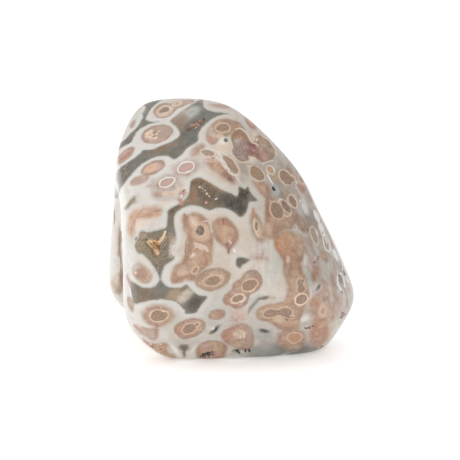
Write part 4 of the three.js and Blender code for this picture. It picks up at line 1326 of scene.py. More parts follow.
# Clouds of the hidden sides: paint, size and strength
HIDDEN_GROUND = [
    ("grey tan", 6, 1),
    ("lilac", 4, 0.9),
    ("white", 3.2, 1),
    ("tan", 5, 0.7),
    ("pale grey", 2.4, 0.8),
]
HIDDEN_GLASS = [
    ("olive brown", 2.6, 1.2),
    ("slate", 3.4, 1),
    ("dark olive", 1.8, 0.9),
    ("amber glass", 2, 0.7),
]
HIDDEN_BLUSH = [("orange", 2.6, 0.8), ("brick", 2, 0.8), ("ochre", 2.8, 0.8), ("mauve", 3.4, 0.6)]

# Seams of the hidden sides: seed, paint and half width
HIDDEN_SEAMS = [(101, "warm cream", 0.1), (111, "lilac white", 0.14), (121, "pink", 0.1)]


def linear(colour):
    """Turns an eight-bit colour into light."""
    part = np.array(colour) / 255
    return np.where(part <= 0.04045, part / 12.92, ((part + 0.055) / 1.055) ** 2.4)


def paint(name):
    """Gives the stone's own colour for a paint as it is seen."""
    return np.clip((linear(PAINTS[name]) - GLOSS) / DAYLIGHT, *OWN_COLOUR_RANGE)


def shade(name):
    """Gives a paint, or one of the material's own tones, as a shader's colour."""
    colour = OWN_TONES[name] if name in OWN_TONES else paint(name)
    return (*colour, 1)


def towards(bearing, rise):
    """Gives the direction at a bearing and a rise."""
    turn, lift = math.radians(bearing), math.radians(rise)
    return np.array([math.sin(turn) * math.cos(lift), -math.cos(turn) * math.cos(lift), math.sin(lift)])


def unit(vectors):
    """Makes each vector one long."""
    return vectors / np.linalg.norm(vectors, axis=-1, keepdims=True)


def turned(places, tilt):
    """Gives how far places lie along a line tilted up to the right, and how far across it."""
    turn = math.radians(tilt)
    along = places[:, 0] * math.cos(turn) - places[:, 1] * math.sin(turn)
    across = places[:, 0] * math.sin(turn) + places[:, 1] * math.cos(turn)
    return along, across


def smooth(value, low, high):
    """Rises smoothly from 0 at one value to 1 at the other."""
    part = np.clip((value - low) / (high - low), 0, 1)
    return part * part * (3 - 2 * part)


def fading(away):
    """Gives how strong a stain is: 1 in its middle, half at its edge and soon nothing past it."""
    return np.exp(-0.7 * away**4)


def lattice_value(cells, seed):
    """Gives each cell of a lattice a number of its own between 0 and 1."""
    mixed = cells[..., 0] * 73856093 ^ cells[..., 1] * 19349663 ^ cells[..., 2] * 83492791
    mixed = (mixed + seed * 40503 + 977) & 0xFFFFFFFF
    mixed = ((mixed ^ (mixed >> 15)) * 2246822519) & 0xFFFFFFFF
    mixed = ((mixed ^ (mixed >> 13)) * 3266489917) & 0xFFFFFFFF
    return ((mixed ^ (mixed >> 16)) & 0xFFFFFF) / 0xFFFFFF


def grain(points, size, seed):
    """Gives soft noise from -1 to 1 whose lumps have the given size."""
    scaled = points / size
    cell = np.floor(scaled).astype(np.int64)
    part = scaled - cell
    part = part * part * (3 - 2 * part)
    total = np.zeros(len(points))
    for corner in np.ndindex(2, 2, 2):
        weight = np.prod(np.where(corner, part, 1 - part), axis=1)
        total += weight * lattice_value(cell + np.array(corner), seed)
    return total * 2 - 1


def icosahedron():
    """Gives the corners of an icosahedron on a sphere, and its faces, turned outward."""
    golden = (1 + math.sqrt(5)) / 2
    corners = []
    for a in (-1, 1):
        for b in (-golden, golden):
            corners += [(0, a, b), (a, b, 0), (b, 0, a)]
    corners = unit(np.array(corners, dtype=float))
    near = corners @ corners.T > 0.4
    faces = []
    for i, j, k in itertools.combinations(range(len(corners)), 3):
        if near[i, j] and near[j, k] and near[i, k]:
            inward = np.linalg.det(corners[[i, j, k]]) < 0
            faces.append((i, k, j) if inward else (i, j, k))
    return corners, faces


def split_triangle(detail):
    """Splits a triangle evenly and gives each point's shares of the corners, and the small triangles."""
    steps = [(p, q) for p in range(detail + 1) for q in range(detail + 1 - p)]
    number = {step: index for index, step in enumerate(steps)}
    shares = np.array([(detail - p - q, p, q) for p, q in steps]) / detail
    small = []
    for p, q in steps:
        if p + q < detail:
            small.append((number[p, q], number[p + 1, q], number[p, q + 1]))
        if p + q < detail - 1:
            small.append((number[p + 1, q], number[p + 1, q + 1], number[p, q + 1]))
    return shares, np.array(small)


def sphere_net(detail):
    """Splits the faces of an icosahedron evenly and gives its points on a sphere, and its triangles."""
    corners, faces = icosahedron()
    shares, small = split_triangle(detail)
    points = np.concatenate([shares @ corners[list(face)] for face in faces])
    triangles = np.concatenate([small + index * len(shares) for index in range(len(faces))])
    rounded = np.round(points, 6) + 0.0  # the sum turns each -0 into 0, so that shared points match
    _, first, merged = np.unique(rounded, axis=0, return_index=True, return_inverse=True)
    return unit(points[first]), merged.reshape(-1)[triangles]


def crowd_forward(directions):
    """Draws the points of the sphere together on the side that faces the camera."""
    shift = -BACK * FRONT_CROWDING
    offset = directions - shift
    reach = np.sum(offset * offset, axis=1, keepdims=True)
    return unit((1 - shift @ shift) * offset / reach - shift)


def facet_sum(facets, directions, sharpness):
    """Sums the facets that each direction can meet, so that the nearest one counts most."""
    total = np.zeros(len(directions))
    for _, bearing, rise, reach in facets:
        total += np.maximum(directions @ towards(bearing, rise) / reach, 0) ** sharpness
    return total


def worn_depth(points):
    """Gives how deep the hollows are worn at each point of the plain stone."""
    depth = np.zeros(len(points))
    for _, start, end, half_width, deepest in HOLLOWS:
        start, along = np.array(start), np.subtract(end, start)
        part = np.clip((points - start) @ along / (along @ along), 0, 1)
        away = np.linalg.norm(points - start - part[:, None] * along, axis=1)
        depth += deepest * np.exp(-((away / half_width) ** 2))
    return depth


def surface_points(directions):
    """Gives the points of the stone's surface in each direction from its heart."""
    cushion = facet_sum(CUSHION, directions, CUSHION_SHARPNESS) ** (EDGE_SHARPNESS / CUSHION_SHARPNESS)
    reach = (cushion + facet_sum(SIDES, directions, EDGE_SHARPNESS)) ** (-1 / EDGE_SHARPNESS)
    reach = reach - worn_depth(directions * reach[:, None])
    for waves, phase in SWELLS:
        reach += SWELL_HEIGHT * np.sin(directions @ np.array(waves) + phase)
    # The foot is a facet too, whose corner with the sides is much crisper
    foot = np.maximum(-directions[:, 2] / HEART_HEIGHT, 1e-6)
    reach = (reach ** -FOOT_SHARPNESS + foot ** FOOT_SHARPNESS) ** (-1 / FOOT_SHARPNESS)
    return directions * reach[:, None]


def pocket_frame(bearing, rise, tilt):
    """Gives the middle of a pocket and its directions along, across and outward."""
    direction = towards(bearing, rise)
    level = unit(np.cross((0, 0, 1), direction))
    upward = np.cross(direction, level)
    nudged = unit(np.array([direction, direction + NUDGE * level, direction + NUDGE * upward]))
    middle, beside, above = surface_points(nudged)
    outward = unit(np.cross(beside - middle, above - middle))
    turn = math.radians(tilt)
    along = math.cos(turn) * level + math.sin(turn) * upward
    along = unit(along - (along @ outward) * outward)
    return middle, along, np.cross(outward, along), outward


def crystal_height(flat, seed):
    """Gives the height, from 0 to 1, of the small crystals that line a pocket.

    Each cell of a flat lattice has one six-sided crystal with a place, turn and tip of its own.
    """
    scaled = flat / CRYSTAL_SIZE
    cell = np.floor(scaled).astype(np.int64)
    level = np.zeros(len(flat), np.int64)
    height = np.zeros(len(flat))
    for step in np.ndindex(3, 3):
        near = np.column_stack([cell + np.array(step) - 1, level])
        sway = np.column_stack([lattice_value(near, seed + k) for k in (1, 2)])
        offset = scaled - (near[:, :2] + CRYSTAL_INSET + (1 - 2 * CRYSTAL_INSET) * sway)
        turn = lattice_value(near, seed + 3) * math.pi
        tip = SHORTEST_CRYSTAL + (1 - SHORTEST_CRYSTAL) * lattice_value(near, seed + 4)
        sides = []
        for k in range(3):
            angle = turn + k * math.pi / 3
            sides.append(np.abs(offset[:, 0] * np.cos(angle) + offset[:, 1] * np.sin(angle)))
        height = np.maximum(height, tip - np.max(sides, axis=0))
    return height


def sink_pockets(points):
    """Sinks the pockets, lined with crystals, into the stone and gives how far inside one each point is."""
    inside = np.zeros(len(points))
    for index, (_, bearing, rise, tilt, length, width, depth) in enumerate(POCKETS):
        middle, along, across, outward = pocket_frame(bearing, rise, tilt)
        offset = points - middle
        near = np.flatnonzero(np.linalg.norm(offset, axis=1) < length)
        flat = offset[near] @ np.column_stack([along, across])
        wander = POCKET_WANDER * grain(points[near], POCKET_WANDER_SIZE, 40 + index)
        edge = np.hypot(flat[:, 0] / (length / 2), flat[:, 1] / (width / 2)) + wander
        bowl = np.sqrt(np.clip(1 - edge * edge, 0, 1))
        sunk = depth * bowl * (1 - CRYSTAL_SHARE * crystal_height(flat, 60 + index))
        inside[near] = np.maximum(inside[near], bowl)
        points[near] -= sunk[:, None] * outward
    return inside


def vertex_normals(points, triangles):
    """Gives the direction that the surface faces at each point."""
    sides = points[triangles]
    across = np.cross(sides[:, 1] - sides[:, 0], sides[:, 2] - sides[:, 0])
    total = np.zeros_like(points)
    for corner in range(3):
        for axis in range(3):
            total[:, axis] += np.bincount(triangles[:, corner], across[:, axis], len(points))
    return unit(total)


class View:
    """The stone's points as the camera of the photograph sees them."""

    def __init__(self, points, normals):
        offset = points - AIM
        distance = DISTANCE - offset @ BACK
        scale = DISTANCE / PIXEL / distance
        sideways, upward = offset @ RIGHT, offset @ UP
        self.points = points
        self.normals = normals
        self.place = np.column_stack([CENTRE_PIXEL + sideways * scale, CENTRE_PIXEL - upward * scale])
        # How fast the pixels across and down change with a step in millimetres along the surface
        across = scale[:, None] * RIGHT + (sideways * scale / distance)[:, None] * BACK
        down = -scale[:, None] * UP - (upward * scale / distance)[:, None] * BACK
        self.across = across - np.sum(across * normals, axis=1, keepdims=True) * normals
        self.down = down - np.sum(down * normals, axis=1, keepdims=True) * normals
        self.facing = np.sum(unit(AIM + BACK * DISTANCE - points) * normals, axis=1)
        # Noise on the places makes every outline wander
        for axis in range(2):
            self.place[:, axis] += WANDER * grain(points, WANDER_SIZE, 11 + axis)
            self.place[:, axis] += FINE_WANDER * grain(points, FINE_WANDER_SIZE, 21 + axis)

    def slope(self, near, x, y):
        """Turns a slope in pixels into a slope in millimetres along the surface."""
        return np.linalg.norm(self.across[near] * x[:, None] + self.down[near] * y[:, None], axis=1)

    def inside_box(self, low, high):
        """Picks the points near a stretch of the photograph that the camera can see, or nearly."""
        clear = np.all((self.place > low - MARGIN) & (self.place < high + MARGIN), axis=1)
        return np.flatnonzero(clear & (self.facing > FACING_LIMIT))

    def ellipse(self, x, y, length, width, tilt):
        """Gives the points near an ellipse, how far outside it they are, and how far against its size."""
        reach = max(length, width)
        centre = np.array([x, y])
        near = self.inside_box(centre - reach, centre + reach)
        along, across = turned(self.place[near] - centre, tilt)
        away = np.maximum(np.hypot(along / length, across / width), 1e-3)
        climb = np.column_stack([along / length**2 / away, across / width**2 / away])
        slope = np.maximum(self.slope(near, *turned(climb, -tilt)), GENTLEST_SLOPE / (reach * PIXEL))
        away = np.hypot(away, self.behind(near, centre, reach))
        away = np.hypot(away, np.minimum(self.facing[near], 0) * HORIZON_FADE)
        return near, (away - 1) / slope, away

    def behind(self, near, centre, reach):
        """Gives how far points lie behind the spot that a marking is centred on, against its size."""
        seen = np.flatnonzero(self.facing[near] > 0.02)
        if len(seen) == 0:
            return np.zeros(len(near))
        spot = near[seen[np.argmin(np.linalg.norm(self.place[near[seen]] - centre, axis=1))]]
        drop = (self.points[near] - self.points[spot]) @ self.normals[spot]
        return drop / (reach * PIXEL * BEHIND_SHARE + BEHIND_DEPTH)

    def outline(self, corners, closed=True):
        """Gives the points near an outline, how far outside in pixels and millimetres, and the slope."""
        corners = np.array(corners, dtype=float)
        near = self.inside_box(corners.min(axis=0), corners.max(axis=0))
        place = self.place[near]
        away, nearest, inside = follow_path(smooth_path(corners, closed), place)
        outward = (place - nearest) / np.maximum(away, 1e-6)[:, None]
        pixels = np.where(inside, -away, away) if closed else away
        slope = np.maximum(self.slope(near, outward[:, 0], outward[:, 1]), FEWEST_PIXELS)
        lumps = 1 + TAPER_LUMPS * grain(self.points[near], TAPER_LUMP_SIZE, 25)
        taper = HORIZON_TAPER * np.minimum(self.facing[near], 0) ** 2 * lumps
        return near, pixels, pixels / slope + taper, slope


def smooth_path(corners, closed):
    """Runs a smooth curve through the corners of an outline."""
    if closed:
        padded = np.concatenate([corners[-1:], corners, corners[:2]])
    else:
        padded = np.concatenate([2 * corners[:1] - corners[1:2], corners, 2 * corners[-1:] - corners[-2:-1]])
    path = []
    for before, start, end, after in zip(padded, padded[1:], padded[2:], padded[3:]):
        curve = 2 * before - 5 * start + 4 * end - after
        twist = 3 * (start - end) + after - before
        for part in np.arange(CURVE_STEPS) / CURVE_STEPS:
            path.append(start + part / 2 * (end - before + (curve * part + twist * part**2)))
    path.append(padded[-2])
    return np.array(path)


def follow_path(path, places):
    """Gives how far places are from a path, its nearest points, and which places it goes round.

    It goes round a place if a line from there to the right crosses it an odd number of times.
    """
    best = np.full(len(places), 1e9)
    nearest = np.zeros_like(places)
    crossings = np.zeros(len(places), dtype=int)
    for start, end in zip(path[:-1], path[1:]):
        step = end - start
        part = np.clip((places - start) @ step / max(step @ step, 1e-9), 0, 1)
        point = start + part[:, None] * step
        away = np.linalg.norm(places - point, axis=1)
        closer = away < best
        best[closer] = away[closer]
        nearest[closer] = point[closer]
        spans = (start[1] > places[:, 1]) != (end[1] > places[:, 1])
        rise = step[1] if abs(step[1]) > 1e-9 else 1e-9
        crossings += spans & (places[:, 0] < start[0] + (places[:, 1] - start[1]) / rise * step[0])
    return best, nearest, crossings % 2 == 1


class Coat:
    """One coat of markings: how far outside its shapes each point is, and the colour of the nearest one."""

    def __init__(self, count, colour):
        self.colour = np.tile(paint(colour), (count, 1))
        self.distance = np.full(count, FAR)
        self.edge = np.full(count, FAR)
        self.softness = np.ones(count)

    def add(self, near, distance, softness, colour):
        """Adds a shape, given how far outside it the points near it are."""
        closer = distance / softness < self.edge[near]
        chosen = near[closer]
        self.edge[chosen] = (distance / softness)[closer]
        self.distance[chosen] = distance[closer]
        self.colour[chosen] = paint(colour)
        self.softness[chosen] = softness

    def stain(self, near, strength, colour):
        """Washes a colour over part of the coat."""
        share = strength[:, None]
        self.colour[near] += share * (paint(colour) - self.colour[near])


def draw_ellipses(view, coat, marks):
    """Draws marks that are ellipses."""
    for colour, *ellipse, softness in marks:
        near, distance, _ = view.ellipse(*ellipse)
        coat.add(near, distance, softness, colour)


def draw_outlines(view, coat, marks):
    """Draws marks with outlines of their own."""
    for colour, softness, corners in marks:
        near, _, distance, _ = view.outline(corners)
        coat.add(near, distance, softness, colour)


def draw_cores(view, core, ring):
    """Draws the orbs' cores with the rings round them."""
    lumps = LUMP_HEIGHT * grain(view.points, LUMP_SIZE, 31)
    more_lumps = LUMP_HEIGHT * grain(view.points, LUMP_SIZE, 32)
    for colour, x, y, length, width, tilt, ring_width, ring_colour in CORES:
        near, distance, _ = view.ellipse(x, y, length, width, tilt)
        core.add(near, distance + lumps[near], 1, colour)
        if ring_width:
            near, distance, _ = view.ellipse(x, y, length + ring_width, width + ring_width, tilt)
            distance = distance + RING_LUMPS * lumps[near] + RING_LUMPS * more_lumps[near]
            ring.add(near, distance, 1, ring_colour)
    for colour, x, y, length, width, tilt, ring_width in RINGS:
        near, distance, _ = view.ellipse(x, y, length - ring_width / 2, width - ring_width / 2, tilt)
        ring.add(near, np.abs(distance + lumps[near]) - ring_width * PIXEL / 2, 1, colour)


def draw_lines(view, coat):
    """Draws the pale lines and seams, and the line of painted shade in the groove behind the left edge."""
    for colour, width, corners in LINES:
        near, pixels, distance, slope = view.outline(corners, closed=False)
        distance = np.maximum((pixels - width / 2) / slope, distance - width * LINE_END)
        coat.add(near, distance, 1, colour)


def draw_stains_and_painted_light(view, coats):
    """Washes the soft stains, and the painted reflection, sheen and shade among them, over the coats."""
    for name, stains in STAINS_AND_PAINTED_LIGHT.items():
        for colour, *ellipse, strength in stains:
            near, _, away = view.ellipse(*ellipse)
            away = away * (1 + STAIN_LUMPS * grain(view.points[near], STAIN_LUMP_SIZE, 35))
            coats[name].stain(near, strength * fading(away), colour)


def brighten_halos(view, coats):
    """Brightens the ground round the windows of the left half."""
    gap = coats["window"].distance
    halo = smooth(gap, *HALO_REACH) * smooth(view.place[:, 0], *HALO_FADE)
    coats["ground"].stain(np.arange(len(gap)), halo * HALO_STRENGTH, "bright white")


def scatter_grit(view):
    """Gives how gritty each point is."""
    grit = np.zeros(len(view.points))
    for *ellipse, strength in GRIT:
        near, _, away = view.ellipse(*ellipse)
        grit[near] = np.maximum(grit[near], strength * fading(away))
    return grit


def draw_streaks(view, ground):
    """Streaks the ground with light and dark, and with a little pink and green."""
    for *ellipse, run, strength in STREAKS:
        near, _, away = view.ellipse(*ellipse)
        along, across = turned(view.place[near], run)
        flow = np.column_stack([across / STREAK_WIDTH, along / STREAK_LENGTH, np.zeros(len(near))])
        light = (grain(flow, 1, 31) + 0.6 * grain(flow * (2.2, 1.5, 1), 1, 32)) * strength
        fade = fading(away)
        ground.colour[near] *= 1 + (light * fade)[:, None] * STREAK_LIGHT
        tint = grain(flow * (1.6, 1.3, 1), 1, 33) * strength * STREAK_TINT * fade
        stain_both_ways(ground, near, tint)


def stain_both_ways(ground, near, tint, share=1):
    """Stains the ground pink where a tint is above 0, and green where it is below."""
    ground.stain(near, share * np.clip(tint, 0, TINT_LIMIT), "salmon")
    ground.stain(near, share * np.clip(-tint, 0, TINT_LIMIT), "green white")


def hidden_spots(view, coats):
    """Picks the points that a hidden body may be centred on, clear of the foot and of the front."""
    x, y, z = view.points.T
    on_right_shoulder = (x > 4) & (z > 9)
    turned_away = view.facing < np.where(on_right_shoulder, SHOULDER_FACING, HIDDEN_FACING)
    turned_away &= (z > 4) | (y > -1)
    far_from_bodies = coats["body"].distance > BODY_CLEARANCE
    far_from_windows = coats["window"].distance > WINDOW_CLEARANCE
    return np.flatnonzero(turned_away & far_from_bodies & far_from_windows)


def plan_cores(middle, along, across, count, shrink, random):
    """Lays cores in a row, each with its middle, direction, half length and half width."""
    cores = []
    for index in range(count):
        length = random.uniform(*CORE_REACH) * shrink
        width = length * random.uniform(*CORE_STRETCH)
        step = (index - (count - 1) / 2) * CORE_SPACING * random.uniform(*CORE_SPACING_SWAY)
        place = middle + step * along + random.uniform(-CORE_SWAY, CORE_SWAY) * across
        turn = random.uniform(-CORE_TURN, CORE_TURN)
        cores.append((place, math.cos(turn) * along + math.sin(turn) * across, length, width))
    return cores


def plan_hidden_bodies(view, coats, random):
    """Picks the places of the bodies on the hidden sides, larger ones first, each with its cores."""
    clear = hidden_spots(view, coats)
    bodies = []
    for attempt in range(HIDDEN_TRIES):
        spot = clear[random.integers(len(clear))]
        middle, outward = view.points[spot], view.normals[spot]
        along = unit(np.cross(outward, random.normal(size=3)))
        across = np.cross(outward, along)
        shrink = 1 - HIDDEN_SHRINK * attempt / HIDDEN_TRIES
        margin = random.uniform(*BODY_MARGIN) * shrink
        count = 1 + int(random.random() * EXTRA_CORES * shrink)
        cores = plan_cores(middle, along, across, count, shrink, random)
        reach = margin + (count - 1) * CORE_SPACING / 2 + BODY_RIM
        if len(bodies) < HIDDEN_BODIES and all(
            np.linalg.norm(middle - other[0]) > (reach + other[1]) * BODY_OVERLAP for other in bodies
        ):
            bodies.append((middle, reach, margin, outward, cores))
    return bodies


def draw_hidden_body(view, coats, body, index, random):
    """Draws one body with its cores and their rings, and gives how far outside it the points near it are."""
    middle, reach, margin, outward, cores = body
    near = np.flatnonzero(np.linalg.norm(view.points - middle, axis=1) < reach + BODY_SURROUNDINGS)
    points = view.points[near]
    lumps = grain(points, 1.9, 70 + index) + 0.5 * grain(points, 0.8, 170 + index)
    tone = HIDDEN_PAINTS[random.integers(len(HIDDEN_PAINTS))]
    heart = HIDDEN_CORES[random.integers(len(HIDDEN_CORES))]
    inner = HIDDEN_INNERS[random.integers(len(HIDDEN_INNERS))]
    ring = random.uniform(*RING_WIDTH)
    glow = random.uniform(*GLOW_WIDTH)
    lot = random.random()
    ring_tone = "bright white" if heart == "pink core" else "peach"
    closeness = np.zeros(len(near))
    for place, along, length, width in cores:
        offset = points - place
        sideways = offset @ np.cross(outward, along) / width
        away = np.sqrt((offset @ along / length) ** 2 + sideways**2 + (offset @ outward / CORE_DEPTH) ** 2)
        distance = (away - 1) * math.sqrt(length * width) + CORE_LUMPS * lumps
        closeness += np.exp(-MERGING * distance)
        coats["core"].add(near, distance, 1, heart)
        coats["ring"].add(near, distance - ring, 1, ring_tone)
        if lot > INNER_LOT:
            glow_edge = distance - ring - glow * GLOW_SHARE + GLOW_LUMPS * lumps
            coats["inner"].add(near, glow_edge, GLOW_SOFTNESS, inner)
        if lot < THIN_RING_LOT:
            coats["ring"].add(near, np.abs(distance - ring - glow) - THIN_RING, 1, "pale peach")
    distance = -np.log(closeness + 1e-9) / MERGING - margin + BODY_LUMPS * lumps
    coats["body"].add(near, distance, random.uniform(*HIDDEN_SOFTNESS), tone)
    return near, distance


def draw_hidden_windows(view, coat, halo, past_horizon):
    """Draws windows where the ground is clear of the bodies' halos."""
    points = view.points
    lumps = grain(points, 8, 81) + 0.5 * grain(points, 3.6, 82) + 0.2 * grain(points, 1.5, 83)
    lumps = lumps - points[:, 0] / 60  # more of them to the left
    window = np.maximum(np.maximum((0.22 - lumps) * 4, HIDDEN_HALO - halo), past_horizon)
    coat.add(np.arange(len(points)), window, 1, "olive")


def draw_hidden_seams(view, coat, past_horizon):
    """Draws seams, each along the line where a noise is 0, in stretches that a second noise picks."""
    points = view.points
    for seed, colour, width in HIDDEN_SEAMS:
        course = grain(points, 6, seed) + 0.25 * grain(points, 1.6, seed + 1)
        stretch = 0.2 - grain(points, 7, seed + 2)
        seam = np.maximum(np.maximum(np.abs(course) * 3.2 - width, stretch * 6), past_horizon)
        coat.add(np.arange(len(points)), seam, 1, colour)


def draw_hidden_flecks(view, coat, random):
    """Scatters small marks."""
    points = view.points
    clear = np.flatnonzero(view.facing < -0.15)
    for _ in range(HIDDEN_FLECKS):
        spot = clear[random.integers(len(clear))]
        size = random.uniform(*FLECK_SIZE)
        colour = HIDDEN_SPECKS[random.integers(len(HIDDEN_SPECKS))]
        near = np.flatnonzero(np.linalg.norm(points - points[spot], axis=1) < 2)
        stretched = (points[near] - points[spot]) * (1, 1, random.uniform(0.4, 1))
        distance = np.linalg.norm(stretched, axis=1) - size * (1 + 0.5 * grain(points[near], 0.4, 141))
        coat.add(near, distance, 1, colour)


def wash(coat, points, share, tones, seed):
    """Washes a coat with soft clouds of several tones."""
    for index, (colour, size, strength) in enumerate(tones):
        cloud = grain(points, size, seed + index) + 0.5 * grain(points, size * 0.4, seed + 10 + index)
        coat.stain(np.arange(len(points)), share * np.clip(cloud * 1.6 - 0.1, 0, 1) * strength, colour)


def wash_hidden_sides(view, coats, hidden):
    """Washes the hidden sides with clouds and streaks."""
    points = view.points
    wash(coats["ground"], points, hidden, HIDDEN_GROUND, 200)
    wash(coats["window"], points, 0.45 + 0.55 * hidden, HIDDEN_GLASS, 230)
    wash(coats["body"], points, 0.4 + 0.6 * hidden, HIDDEN_BLUSH, 260)
    flow = points @ np.array(HIDDEN_FLOW)
    streak = grain(flow, 1, 151) + 0.5 * grain(flow * 1.9, 1, 152)
    # The streaks lie in patches, and more of them to the right
    patch = hidden * smooth(grain(points, 10, 153) + points[:, 0] / 50, -0.1, 0.5)
    stain_both_ways(coats["ground"], np.arange(len(points)), streak, patch)


def gap_to_front(view):
    """Gives how far each point lies from the part of the stone that the photograph shows."""
    shown = view.facing > 0
    tree = kdtree.KDTree(int(shown.sum()))
    for index, point in enumerate(view.points[shown]):
        tree.insert(point, index)
    tree.balance()
    gap = np.zeros(len(shown))
    for index in np.flatnonzero(~shown):
        gap[index] = tree.find(view.points[index])[2]
    return gap


def draw_hidden_sides(view, coats):
    """Gives the sides that the photograph doesn't show bodies, windows and seams of the same kinds."""
    random = np.random.default_rng(SEED)
    points = view.points
    gap = gap_to_front(view)
    shore = SHORE + SHORE_SWAY * (grain(points, 2.4, 161) + 0.4 * grain(points, 0.9, 162))
    past_horizon = np.maximum(shore, NEAREST_SHORE) - gap
    halo = coats["body"].distance.copy()
    for index, body in enumerate(plan_hidden_bodies(view, coats, random)):
        near, distance = draw_hidden_body(view, coats, body, index, random)
        halo[near] = np.minimum(halo[near], distance)
    draw_hidden_windows(view, coats["window"], halo, past_horizon)
    draw_hidden_seams(view, coats["ring"], past_horizon)
    draw_hidden_flecks(view, coats["fleck"], random)
    wash_hidden_sides(view, coats, smooth(gap, *HIDDEN_FADE))


def paint_stone(view):
    """Works out every coat of markings, the front before the hidden sides, and the stains with the painted
    light and shade among them last.
    """
    coats = {name: Coat(len(view.points), "white") for name in COATS}
    coats["ground"].colour[:] = paint("cream")
    draw_outlines(view, coats["window"], [("olive", 1, corners) for corners in WINDOWS.values()])
    draw_ellipses(view, coats["body"], BODIES)
    draw_outlines(view, coats["body"], ZONES)
    draw_ellipses(view, coats["inner"], INNERS)
    draw_cores(view, coats["core"], coats["ring"])
    draw_lines(view, coats["ring"])
    draw_outlines(view, coats["fleck"], CRYSTALS)
    draw_ellipses(view, coats["glint"], [(*glint, 1) for glint in GLINTS])
    draw_ellipses(view, coats["fleck"], [(*fleck, 1) for fleck in FLECKS])
    draw_hidden_sides(view, coats)
    draw_stains_and_painted_light(view, coats)
    brighten_halos(view, coats)
    draw_streaks(view, coats["ground"])
    return coats


def shift_to_solid(points):
    """Gives the way from the heart's frame to the part's, where the stone is over the solid's middle."""
    middle = (points.max(axis=0) + points.min(axis=0)) / 2
    low, high = (np.array(corner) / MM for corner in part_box("stone"))
    return np.array([(low[0] + high[0]) / 2 - middle[0], (low[1] + high[1]) / 2 - middle[1], HEART_HEIGHT])


def plain_mesh(points, triangles):
    """Makes a smooth mesh of points in millimetres and triangles."""
    mesh = bpy.data.meshes.new("polished_stone")
    mesh.vertices.add(len(points))
    mesh.vertices.foreach_set("co", (points * MM).ravel())
    mesh.loops.add(triangles.size)
    mesh.loops.foreach_set("vertex_index", triangles.ravel().astype(np.int32))
    mesh.polygons.add(len(triangles))
    mesh.polygons.foreach_set("loop_start", np.arange(0, triangles.size, 3, dtype=np.int32))
    mesh.update(calc_edges=True)
    mesh.validate()
    mesh.polygons.foreach_set("use_smooth", np.ones(len(triangles), dtype=bool))
    return mesh


def store_markings(mesh, coats, numbers):
    """Stores the coats of markings, and other numbers of the points, as attributes of the mesh."""
    for name, coat in coats.items():
        attribute = mesh.attributes.new(name, "FLOAT_COLOR", "POINT")
        attribute.data.foreach_set("color", np.column_stack([coat.colour, coat.distance]).ravel())
        numbers[name + "_edge"] = coat.edge
        numbers[name + "_softness"] = coat.softness
    for name, values in numbers.items():
        attribute = mesh.attributes.new(name, "FLOAT", "POINT")
        attribute.data.foreach_set("value", values)


def stone_mesh():
    """Makes the stone's mesh with its coats of markings."""
    directions, triangles = sphere_net(MESH_DETAIL)
    points = surface_points(crowd_forward(directions))
    shift = shift_to_solid(points)
    view = View(points + shift, vertex_normals(points, triangles))
    inside = sink_pockets(points)
    mesh = plain_mesh(points + shift, triangles)
    store_markings(mesh, paint_stone(view), {"pocket": inside, "grit": scatter_grit(view)})
    return mesh


def add_node(tree, kind, inputs=None, **settings):
    """Adds a node, each of whose inputs is a value or another node's output."""
    node = tree.nodes.new(kind)
    for name, value in settings.items():
        setattr(node, name, value)
    for name, value in (inputs or {}).items():
        if isinstance(value, bpy.types.NodeSocket):
            tree.links.new(value, node.inputs[name])
        else:
            node.inputs[name].default_value = value
    return node


def attribute(tree, name):
    """Gives what the stone's points know under a name: Color, Alpha or Fac."""
    return add_node(tree, "ShaderNodeAttribute", attribute_name=name).outputs


def blend(tree, share, under, over):
    """Lays one colour over another."""
    return add_node(tree, "ShaderNodeMix", {0: share, 6: under, 7: over}, data_type="RGBA").outputs[2]


def calculate(tree, operation, first, second):
    """Works on two numbers."""
    node = add_node(tree, "ShaderNodeMath", {0: first, 1: second}, operation=operation)
    return node.outputs[0]


def product(tree, first, second):
    """Multiplies two numbers."""
    return calculate(tree, "MULTIPLY", first, second)


def ramp(tree, value, start, end, low=0.0, high=1.0):
    """Rises smoothly from one value to another."""
    inputs = {"Value": value, "From Min": start, "From Max": end, "To Min": low, "To Max": high}
    return add_node(tree, "ShaderNodeMapRange", inputs, interpolation_type="SMOOTHSTEP").outputs["Result"]


def speckle(tree, place, size, detail, distortion):
    """Gives noise from 0 to 1 whose lumps have a size in millimetres."""
    inputs = {"Vector": place, "Scale": 1 / (size * MM), "Detail": detail, "Distortion": distortion}
    return add_node(tree, "ShaderNodeTexNoise", inputs).outputs["Fac"]


def wobbling(tree, noises, distance, share):
    """Makes a distance, in millimetres or softnesses, wobble a little."""
    wobble = product(tree, calculate(tree, "SUBTRACT", noises["fine"], 0.5), WOBBLE)
    return calculate(tree, "ADD", distance, product(tree, wobble, share))


def cloud_over(tree, noises, colour, clouds):
    """Lays clouds over a colour."""
    for noise, start, full, strength, tone in clouds:
        colour = blend(tree, ramp(tree, noises[noise], start, full, 0, strength), colour, shade(tone))
    return colour


def ground_colour(tree, noises, window_mm):
    """Clouds the pale ground, and lays the windows' white and bluish halos over it."""
    ground = attribute(tree, "ground")["Color"]
    light = add_node(tree, "ShaderNodeRGBToBW", {"Color": ground}).outputs["Val"]
    paleness = ramp(tree, light, 0.22, 0.42)
    for noise, start, full, strength, tone in GROUND_CLOUDS:
        haze = product(tree, paleness, ramp(tree, noises[noise], start, full, 0, strength))
        ground = blend(tree, haze, ground, shade(tone))
    ground = blend(tree, ramp(tree, window_mm, 1.5, 0.6, 0, 0.4), ground, shade("white"))
    return blend(tree, ramp(tree, window_mm, 0.55, 0.1, 0, 0.75), ground, shade("halo blue"))


